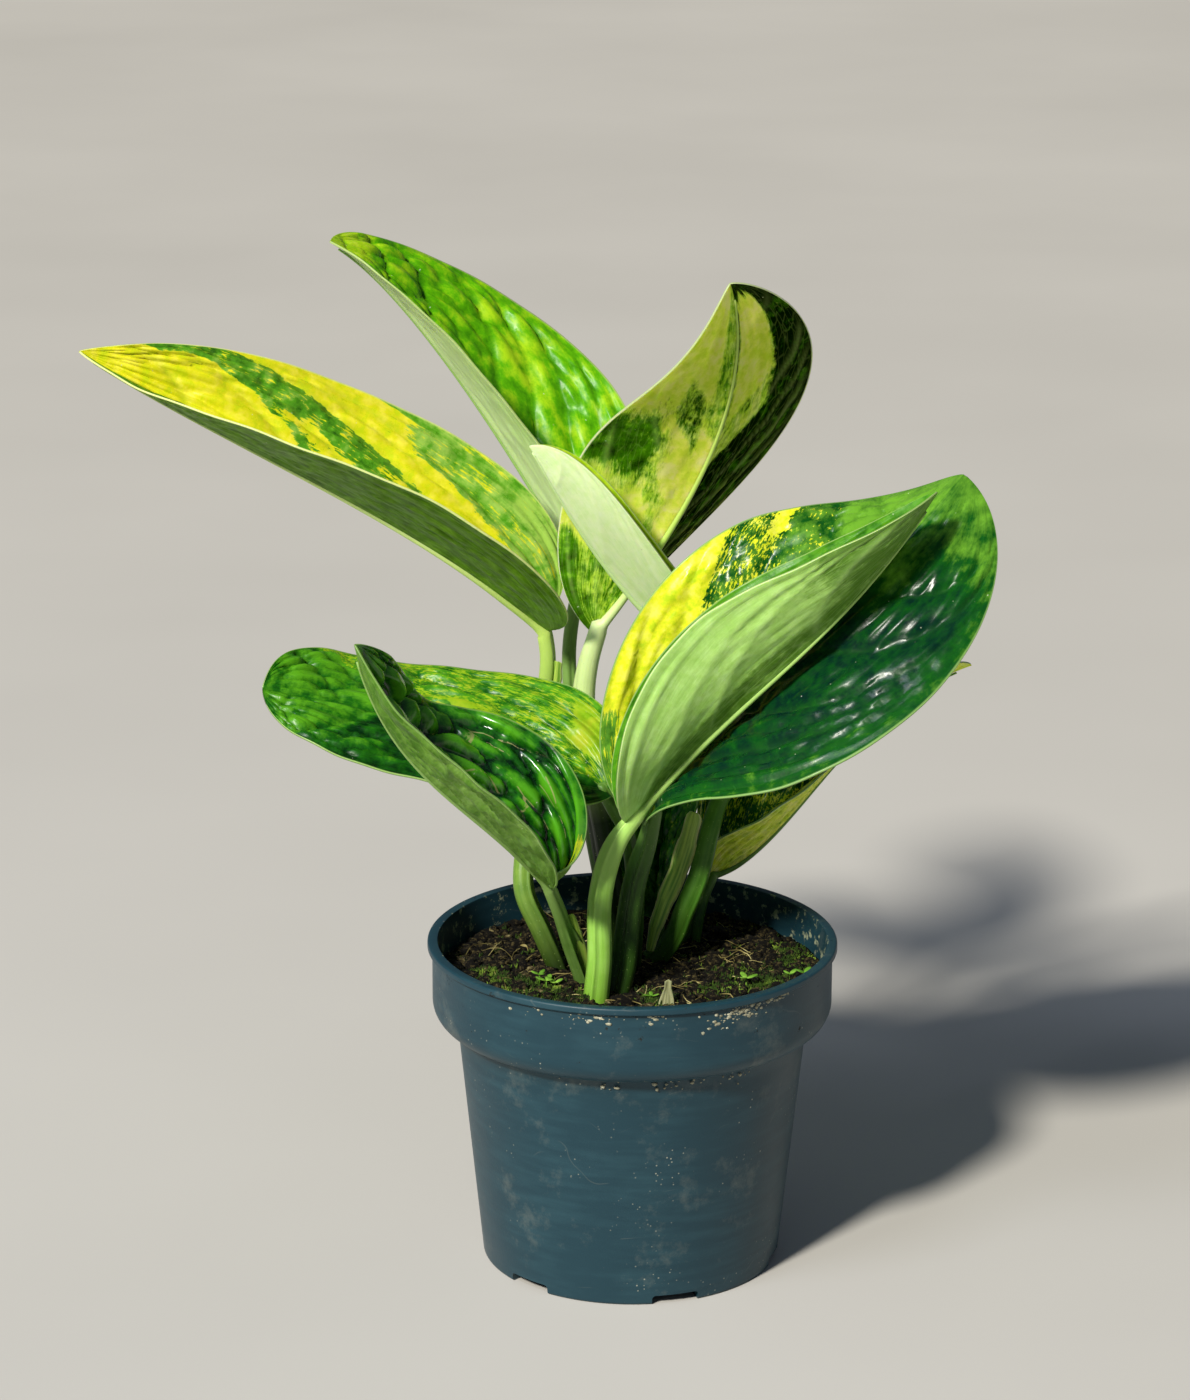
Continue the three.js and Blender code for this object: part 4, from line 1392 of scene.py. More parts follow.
@dataclass
class GroundCover:
    """Crumbs, bark, fibres, straw, moss and seedlings on the mix, all placed by one seeded draw."""

    mix: PottingMix
    reach: float = 54.5
    thread_sides: int = 5
    thread_rings: int = 9
    tuft_shoots: int = 5
    lump_shapes: int = 7
    splash_shapes: int = 5
    splash_top: float = 94.7
    collar_face: float = 58.55
    collar_from: float = 76.0
    body_face: float = 51.5
    crumb_count: int = 3600
    bark_count: int = 300
    fibre_count: int = 300
    moss_count: int = 1900
    seed: int = 20
    moss_beds: tuple[Three, ...] = (
        (-42.0, -7.0, 6.0), (-36.0, -14.0, 7.0), (-28.0, -19.0, 7.0), (-20.0, -24.0, 6.0), (-14.0, -26.0, 5.0),
        (25.0, -19.0, 7.0), (36.0, -13.0, 9.0), (44.0, -6.0, 8.0), (49.0, 6.0, 7.0), (47.0, 16.0, 6.0),
        (30.0, -3.0, 8.0), (7.0, -24.0, 6.0), (0.0, 0.0, 54.0), (0.0, 0.0, 54.0), (0.0, 0.0, 54.0),
    )
    seedling_spots: tuple[Ends, ...] = (
        (-25.0, -16.5), (-22.5, -18.0), (-27.0, -14.0), (50.0, -12.0), (46.0, -9.0), (33.0, -15.0),
        (5.5, -24.0),
    )
    crumbs: LooseMatter = LooseMatter("peat_crumbs", ("#020100", "#0d0a05", "#5e5332"), 1.3)
    bark: LooseMatter = LooseMatter("bark_chips", ("#1a150a", "#42391f", "#958a5e"), 2.0, 0.85)
    straw: LooseMatter = LooseMatter("dry_fibres", ("#3a3014", "#877b48", "#cbc288"), 9.0, 0.8, 0.3)
    moss: LooseMatter = LooseMatter("cushion_moss", ("#0f1a04", "#30480f", "#86a038"), 7.0, 0.8, 0.2)
    splash_spots: tuple[tuple[float, float, float, int], ...] = (
        (-60.0, 92.5, 4.0, 70), (-54.0, 94.0, 3.0, 40), (-66.0, 90.5, 2.0, 14), (-45.0, 93.6, 2.5, 14),
        (-84.0, 93.8, 2.0, 14), (-97.0, 94.2, 3.0, 12), (-104.0, 94.0, 2.5, 16), (-118.0, 94.0, 3.0, 8),
        (-80.0, 71.5, 3.0, 12), (-66.0, 71.5, 4.0, 12), (-52.0, 71.5, 4.0, 12), (-100.0, 71.8, 5.0, 6),
    )
    crust: LooseMatter = LooseMatter("dried_splash", ("#6f6c58", "#a3a189", "#cdcbb4"), 3.0, 0.9, 0.3)
    sprout: LooseMatter = LooseMatter("seedling_green", ("#4a7a20", "#6a9c30", "#98c04c"), 5.0, 0.5, 0.1)

    def spot(self, draw: random.Random, reach: float, centre: Ends = (0.0, 0.0)) -> Vector:
        """Draws a place on the mix, kept inside the pot.

        Args:
            draw: The seeded draw.
            reach: Greatest distance from the centre in millimetres.
            centre: Middle of the area.

        Returns:
            The place, on the mix's surface.
        """
        while True:
            turn = draw.uniform(0, 2 * math.pi)
            radius = reach * math.sqrt(draw.random())
            x = centre[0] + radius * math.cos(turn)
            y = centre[1] + radius * math.sin(turn)
            if math.hypot(x, y) < self.reach:
                return Vector((x, y, self.mix.height(x, y)))

    def lumps(self, name: str, finish: LooseMatter, draw: random.Random, count: int, sizes: Ends,
              flat: float) -> bpy.types.Object:
        """Scatters uneven lumps over the mix.

        Args:
            name: Name of the piece.
            finish: What the lumps are of.
            draw: The seeded draw.
            count: How many lumps.
            sizes: Smallest and largest radius in millimetres.
            flat: Height of a lump as a share of its width.

        Returns:
            One object with all lumps.
        """
        places = []
        for _ in range(count):
            size = sizes[0] + (sizes[1] - sizes[0]) * draw.random() ** 2.5
            place = self.spot(draw, self.reach)
            turn = Matrix.Rotation(draw.uniform(*ANY_TURN), 4, "Z")
            turn = turn @ Matrix.Rotation(draw.gauss(0, 0.35), 4, "X")
            shape = Matrix.Diagonal((size * draw.uniform(0.8, 1.8), size, size * flat, 1))
            place.z += size * flat * 0.3
            places.append(Matrix.Translation(place * MM) @ turn @ shape @ Matrix.Scale(MM, 4))
        piece = scattered(name, rough_lumps(self.lump_shapes, draw), places, finish.build())
        return settle(piece, "potting_mix")

    def threads(self, name: str, finish: LooseMatter, draw: random.Random) -> bpy.types.Object:
        """Lays bent root fibres and straw bits on the mix.

        Args:
            name: Name of the piece.
            finish: What they are of.
            draw: The seeded draw.

        Returns:
            One object with all of them.
        """
        made = bmesh.new()
        sides, rings = self.thread_sides, self.thread_rings
        for _ in range(self.fibre_count):
            length = 3 + 17 * draw.random() ** 3
            radius = draw.uniform(0.09, 0.2)
            start = self.spot(draw, self.reach - 8)
            heading = draw.uniform(0, 2 * math.pi)
            bend = draw.uniform(-1.6, 1.6)
            lift = draw.uniform(0.0, 0.25)
            ring = bmesh.ops.create_circle(made, cap_ends=True, segments=sides, radius=radius * MM)["verts"]
            edges = list({edge for vertex in ring for edge in vertex.link_edges})
            path = []
            place = start.copy()
            for step in range(rings):
                share = step / (rings - 1)
                angle = heading + bend * share
                place = place + Vector((math.cos(angle), math.sin(angle), 0)) * (length / rings)
                if math.hypot(place.x, place.y) > self.reach:
                    break
                rise = self.mix.height(place.x, place.y) + 0.5 + lift * length * math.sin(math.pi * share) * 0.5
                path.append((Vector((place.x, place.y, rise)), angle))
            if len(path) < 3:
                bmesh.ops.delete(made, geom=ring, context="VERTS")
                continue
            for at, (centre, angle) in enumerate(path):
                if at:
                    grown = bmesh.ops.extrude_edge_only(made, edges=edges)["geom"]
                    ring = [g for g in grown if isinstance(g, bmesh.types.BMVert)]
                    edges = [g for g in grown if isinstance(g, bmesh.types.BMEdge)]
                thin = radius * (1 - 0.6 * abs(2 * at / (len(path) - 1) - 1) ** 3)
                side = Vector((-math.sin(angle), math.cos(angle), 0))
                for number, vertex in enumerate(ring):
                    turn = 2 * math.pi * number / sides
                    up = Vector((0, 0, thin * math.sin(turn)))
                    vertex.co = (centre + side * thin * math.cos(turn) + up) * MM
            bmesh.ops.contextual_create(made, geom=edges)
        bmesh.ops.recalc_face_normals(made, faces=made.faces)
        return settle(mesh_object(name, made, [finish.build()]), "potting_mix")

    def moss_bed(self, draw: random.Random) -> bpy.types.Object:
        """Grows tufts of moss: short pointed shoots that lean apart.

        Args:
            draw: The seeded draw.

        Returns:
            One object with all tufts.
        """
        shoot = bmesh.new()
        bmesh.ops.create_cone(shoot, cap_ends=True, segments=5, radius1=0.5, radius2=0.12, depth=1.0,
                              matrix=Matrix.Translation((0, 0, 0.5)))
        places = []
        for _ in range(self.moss_count):
            x, y, reach = draw.choice(self.moss_beds)
            root = self.spot(draw, reach, (x, y))
            for _ in range(self.tuft_shoots):
                height = draw.uniform(0.7, 1.9)
                width = draw.uniform(0.4, 0.8)
                lean = Matrix.Rotation(draw.uniform(*ANY_TURN), 4, "Z")
                lean = lean @ Matrix.Rotation(draw.uniform(0.1, 1.1), 4, "Y")
                shape = Matrix.Diagonal((width * MM, width * MM, height * MM, 1))
                places.append(Matrix.Translation(root * MM) @ lean @ shape)
        return settle(scattered("moss_tufts", [shoot], places, self.moss.build()), "potting_mix")

    def seedlings(self, draw: random.Random) -> bpy.types.Object:
        """Grows a few seedlings: a thin stem with three small leaves.

        Args:
            draw: The seeded draw.

        Returns:
            One object with all seedlings.
        """
        made = bmesh.new()
        for x, y in self.seedling_spots:
            root = Vector((x, y, self.mix.height(x, y)))
            height = draw.uniform(1.5, 3.5)
            foot = Matrix.Translation(root * MM) @ Matrix.Scale(MM, 4)
            bmesh.ops.create_cone(made, cap_ends=True, segments=6, radius1=0.28, radius2=0.2, depth=height,
                                  matrix=foot @ Matrix.Translation((0, 0, height / 2)))
            first = draw.uniform(*ANY_TURN)
            for leaf in range(3):
                turn = Matrix.Rotation(first + 2.1 * leaf, 4, "Z") @ Matrix.Rotation(-0.35, 4, "Y")
                size = draw.uniform(0.9, 1.8)
                shape = Matrix.Diagonal((size, size * 0.6, 0.22, 1))
                away = Matrix.Translation((size, 0, 0))
                top = Matrix.Translation((root + Vector((0, 0, height))) * MM) @ Matrix.Scale(MM, 4)
                bmesh.ops.create_icosphere(made, subdivisions=2, radius=1.0, matrix=top @ turn @ away @ shape)
        return settle(mesh_object("seedlings", made, [self.sprout.build()]), "potting_mix")

    def splashes(self, draw: random.Random) -> bpy.types.Object:
        """Sticks dried crumbs to the pot, mostly under the lip and under the collar's foot.

        Args:
            draw: The seeded draw.

        Returns:
            One object with all crumbs.
        """
        places = []
        for angle, height, spread, count in self.splash_spots:
            for _ in range(count):
                turn = math.radians(draw.gauss(angle, spread))
                up = draw.gauss(height, 0.9)
                radius = self.collar_face if up > self.collar_from else self.body_face + 0.1 * draw.random()
                size = 0.16 + 0.5 * draw.random() ** 3
                place = Matrix.Translation((radius * MM, 0, min(up, self.splash_top) * MM))
                shape = Matrix.Diagonal((size * 0.6 * MM, size * draw.uniform(0.8, 2.2) * MM, size * MM, 1))
                places.append(Matrix.Rotation(turn, 4, "Z") @ place @ shape)
        piece = scattered("dried_splashes", rough_lumps(self.splash_shapes, draw), places, self.crust.build())
        return settle(piece, "potting_mix")

    def build(self) -> None:
        """Makes all that lies and grows on the mix."""
        draw = random.Random(self.seed)
        self.splashes(draw)
        self.lumps("peat_crumb_bed", self.crumbs, draw, count=self.crumb_count, sizes=(0.4, 2.3), flat=0.7)
        self.lumps("bark_chip_bed", self.bark, draw, count=self.bark_count, sizes=(0.7, 2.8), flat=0.35)
        self.threads("fibre_bed", self.straw, draw)
        self.moss_bed(draw)
        self.seedlings(draw)


@dataclass
class DryScale:
    """The papery scale that stands in the mix behind the front rim."""

    foot: Point = (9.0, -30.0, 82.0)
    height: float = 13.0
    width: float = 4.6
    thickness: float = 0.35
    finish: PaperyHusk = PaperyHusk()

    def build(self) -> bpy.types.Object:
        """Makes the scale: a narrow pointed sheet with its sides rolled forward.

        Returns:
            The scale.
        """
        made, spot = sheet_grid(10, 26)
        share = spot[:, 1]
        across = 2 * spot[:, 0] - 1
        width = self.width * 0.5 * (0.35 + 0.65 * np.sin(np.pi * np.clip(share + 0.12, 0, 0.96)))
        curl = 1.1 * across ** 2 * (1 - 0.4 * share)
        places = np.stack([
            self.foot[0] + 1.2 * share + width * across,
            self.foot[1] + 0.8 * share ** 2 - curl * 0.5 + 0.25,
            self.foot[2] + self.height * share - 0.5 * np.abs(across) * share,
        ], axis=-1)
        places = places + 0.12 * np.sin(9 * share + 4 * across)[:, None] * np.array([0.3, 1.0, 0.0])
        move_to(made, places)
        write_layer(made, "grain", np.stack([across * 2.3, self.height * share, share * 0], axis=-1))
        scale = mesh_object("dry_leaf_scale", made, [self.finish.build()])
        return settle(thickened(scale, self.thickness), "dry_scale", "dry_scale")


# Studio

@dataclass
class Studio:
    """Plain pale floor, soft light from the upper left and the camera at the photograph's angle."""

    target: Point = (-11.2, 0.0, 169.9)
    distance: float = 1297.0
    elevation: float = math.radians(16.7)
    roll: float = math.radians(0.21)
    focal_pixels: float = 4500.0
    picture_height: float = 1400.0
    sensor: float = 36.0
    floor_size: float = 9.0
    key_from: Point = (-0.429, -0.661, 0.616)
    key_strength: float = 4.3
    key_angle: float = math.radians(7)
    key_colour: str = "#fffaf0"
    sky_colour: str = "#c8daf6"
    sky_strength: float = 0.15

    def build(self) -> None:
        """Sets up floor, lights, world and camera."""
        self.camera()
        self.floor()
        self.sun()
        self.lamp("sky_light", place=(-0.75, -0.8, 1.45), size=0.45, power=7.0, code="#dfeaff")
        self.world()
        bpy.context.scene.view_settings.view_transform = "Standard"

    def camera(self) -> None:
        """Places the camera."""
        ahead = Vector((0, math.cos(self.elevation), -math.sin(self.elevation)))
        right = Vector((1, 0, 0))
        up = right.cross(ahead)
        across = right * math.cos(self.roll) + up * math.sin(self.roll)
        above = up * math.cos(self.roll) - right * math.sin(self.roll)
        place = (Vector(self.target) - ahead * self.distance) * MM
        data = bpy.data.cameras.new("camera")
        data.sensor_width = self.sensor
        data.lens = self.sensor * self.focal_pixels / self.picture_height
        data.clip_start = 0.01
        camera = bpy.data.objects.new("camera", data)
        turn = Matrix((across, above, -ahead)).transposed().to_4x4()
        camera.matrix_world = Matrix.Translation(place) @ turn
        bpy.context.scene.collection.objects.link(camera)
        bpy.context.scene.camera = camera

    def floor(self) -> None:
        """Lays the plain pale floor."""
        made = bmesh.new()
        bmesh.ops.create_grid(made, x_segments=4, y_segments=4, size=self.floor_size)
        paper = Surface("pale_paper")
        spot = paper.add("TexCoord", out="Object")
        fleck = paper.add("TexNoise", {"Vector": spot, "Scale": 3.0, "Detail": 3.0})
        tint = paper.add("ValToRGB", {0: fleck}, [(0.3, "#c4c1ba"), (0.7, "#cbc8c1")])
        mesh_object("floor", made, [paper.dress(Base_Color=tint, Roughness=0.9)])

    def sun(self) -> None:
        """Hangs the key light far off, so that it falls evenly."""
        data = bpy.data.lights.new("key_light", "SUN")
        data.energy = self.key_strength
        data.angle = self.key_angle
        data.color = linear_rgb(self.key_colour)[:3]
        sun = bpy.data.objects.new("key_light", data)
        sun.matrix_world = Vector(self.key_from).to_track_quat("Z", "Y").to_matrix().to_4x4()
        bpy.context.scene.collection.objects.link(sun)

    def lamp(self, name: str, place: Point, size: float, power: float, code: str) -> None:
        """Hangs a square lamp at a place in metres, turned to the plant.

        Args:
            name: Name of the lamp.
            place: Where it hangs, in metres.
            size: Length of its side in metres.
            power: Its power in watts.
            code: Its colour.
        """
        data = bpy.data.lights.new(name, "AREA")
        data.size = size
        data.energy = power
        data.color = linear_rgb(code)[:3]
        lamp = bpy.data.objects.new(name, data)
        away = Vector(place) - Vector(self.target) * MM
        lamp.matrix_world = Matrix.Translation(place) @ away.to_track_quat("Z", "Y").to_matrix().to_4x4()
        bpy.context.scene.collection.objects.link(lamp)

    def world(self) -> None:
        """Gives the world a dim even light."""
        world = bpy.context.scene.world or bpy.data.worlds.new("world")
        bpy.context.scene.world = world
        world.use_nodes = True
        sky = world.node_tree.nodes["Background"]
        sky.inputs["Color"].default_value = linear_rgb(self.sky_colour)
        sky.inputs["Strength"].default_value = self.sky_strength


# The plant's ten leaves

LEFT, RIGHT = Half.LEFT, Half.RIGHT
# All the laterals of a half
EVERY = (-2.0, 2.0)

SUNNY = LeafSkin("leaf_upper_marbled", "#1c4f04", "#529616", "#9cc250", "#c4d010", "#d8d414", "#eadf40",
                 "#86ac30", "#d3dc8c", roughness=0.28, pebble=0.15, fleck_size=1.2, net_share=0.04)
SUNNY_UNDER = LeafSkin("leaf_under_marbled", "#385c08", "#5a8812", "#7aaa2a", "#62901e", "#769f2a", "#90b440",
                       "#92b650", "#c9df8c", roughness=0.5, gloss=0.2, fleck_edge=0.06, glow=0.4,
                       glow_depth=1.0, cloud=1.0, net_share=0.3)
BRIGHT = LeafSkin("leaf_upper_bright", "#2c7202", "#5aa804", "#a4cf18", "#98c40c", "#aed01e", "#c0d840",
                  "#2a6404", "#a9c070", roughness=0.32, gloss=0.2, pebble=0.1, glow=0.2, vein_share=0.45,
                  net_share=0.05)
BRIGHT_UNDER = LeafSkin("leaf_under_bright", "#b4d282", "#c2de92", "#cfe8a2", "#c2de92", "#cfe8a4", "#d6ecb0",
                        "#dcf0b6", "#d8eab0", roughness=0.5, gloss=0.2, fleck_edge=0.2, pebble=0.03, glow=0.3,
                        glow_depth=1.2, cloud=0.4, net_share=0.12)
CREAM_UPPER = LeafSkin("leaf_upper_cream", "#1c4c06", "#427a10", "#78a82c", "#a4b444", "#c6cb6a", "#d4d68c",
                       "#7fa640", "#b9c98c", glow=0.8, glow_depth=1.6)
# Its near black deep colour is for the painted shade on leaf C's left half
CREAM_UNDER = LeafSkin("leaf_under_cream", "#061400", "#447e08", "#98d02c", "#ccf040", "#e2fc5a", "#f0ff88",
                       "#e0f890", "#dcecb0", roughness=0.7, gloss=0.0, fleck_edge=0.12, pebble=0.1, glow=0.9,
                       glow_depth=3.0, cloud=0.9, vein_share=0.15, net_share=0.05)
DARK = LeafSkin("leaf_upper_dark", "#04261c", "#0f5012", "#68a02c", "#b4cc1c", "#dcdf28", "#ecea58",
                "#2a6a1c", "#86ac60", roughness=0.22, gloss=0.16, fleck_size=0.8, pebble=0.08, net_share=0.06,
                cloud=0.75)
FLECKED = LeafSkin("leaf_upper_flecked", "#04280a", "#1a5e0c", "#529618", "#7aa416", "#92b01e", "#a6b428",
                   "#1c5010", "#8fb060", roughness=0.3, gloss=0.22, fleck_size=0.8, fleck_stretch=0.5,
                   pebble=0.08, net_share=0.04)
GLOSSY = LeafSkin("leaf_upper_glossy", "#031f08", "#1c640e", "#4e9c18", "#a2bc14", "#c8d01e", "#dcdc4a",
                  "#06300a", "#7aa050", roughness=0.19, gloss=0.5, pebble=0.04, net_share=0.0)
DARK_UNDER = LeafSkin("leaf_under_dark", "#4a761e", "#648e32", "#88b056", "#759a40", "#8cae58", "#9cba6c",
                      "#86ac50", "#9cba70", roughness=0.52, gloss=0.2, fleck_edge=0.1, glow=0.3, glow_depth=0.8,
                      net_share=0.25)
PALE_UNDER = LeafSkin("leaf_under_pale", "#5e8c28", "#9ece5e", "#b2de76", "#acda6e", "#bae480", "#c6ec92",
                      "#c4e890", "#cfe8a0", roughness=0.44, gloss=0.25, fleck_edge=0.12, pebble=0.12, glow=0.4,
                      glow_depth=1.0, cloud=0.5, vein_share=0.3, net_share=0.2)
WHITISH_UNDER = LeafSkin("leaf_under_whitish", "#c6ea94", "#d6f6a6", "#e0fcb4", "#d8f8a8", "#e0fcb6", "#e6fec0",
                         "#ecffca", "#e8f8c6", roughness=0.38, gloss=0.35, fleck_edge=0.12, pebble=0.1,
                         glow=0.4, glow_depth=1.2, cloud=0.6, net_share=0.35)

GREEN_STALK = StalkSkin("petiole_green", "#6a9a24", "#8abe46", "#a6d666", "#b0da70", "#a8d070")
DULL_STALK = StalkSkin("petiole_dull", "#3c5c1c", "#557a30", "#74984a", "#86aa58", "#8cb060")
# Painted shade: leaf C's petiole is dark far up from its foot, where it stands in shadow behind the others
PALE_STALK = StalkSkin("petiole_pale", "#1c3208", "#9cc060", "#c8de90", "#d6e8a4", "#b8d465", (0.45, 0.66))
YELLOW_STALK = StalkSkin("petiole_yellow_green", "#20320a", "#5c8630", "#8cae48", "#b8d468", "#c6de88")
SHADED_STALK = StalkSkin("petiole_shaded", "#16260a", "#284810", "#426a20", "#5c8434", "#6c9444")
CLEAR_STALK = StalkSkin("petiole_clear", "#2c4e10", "#386a14", "#5a8c2c", "#a6ce6c", "#cdeca0")


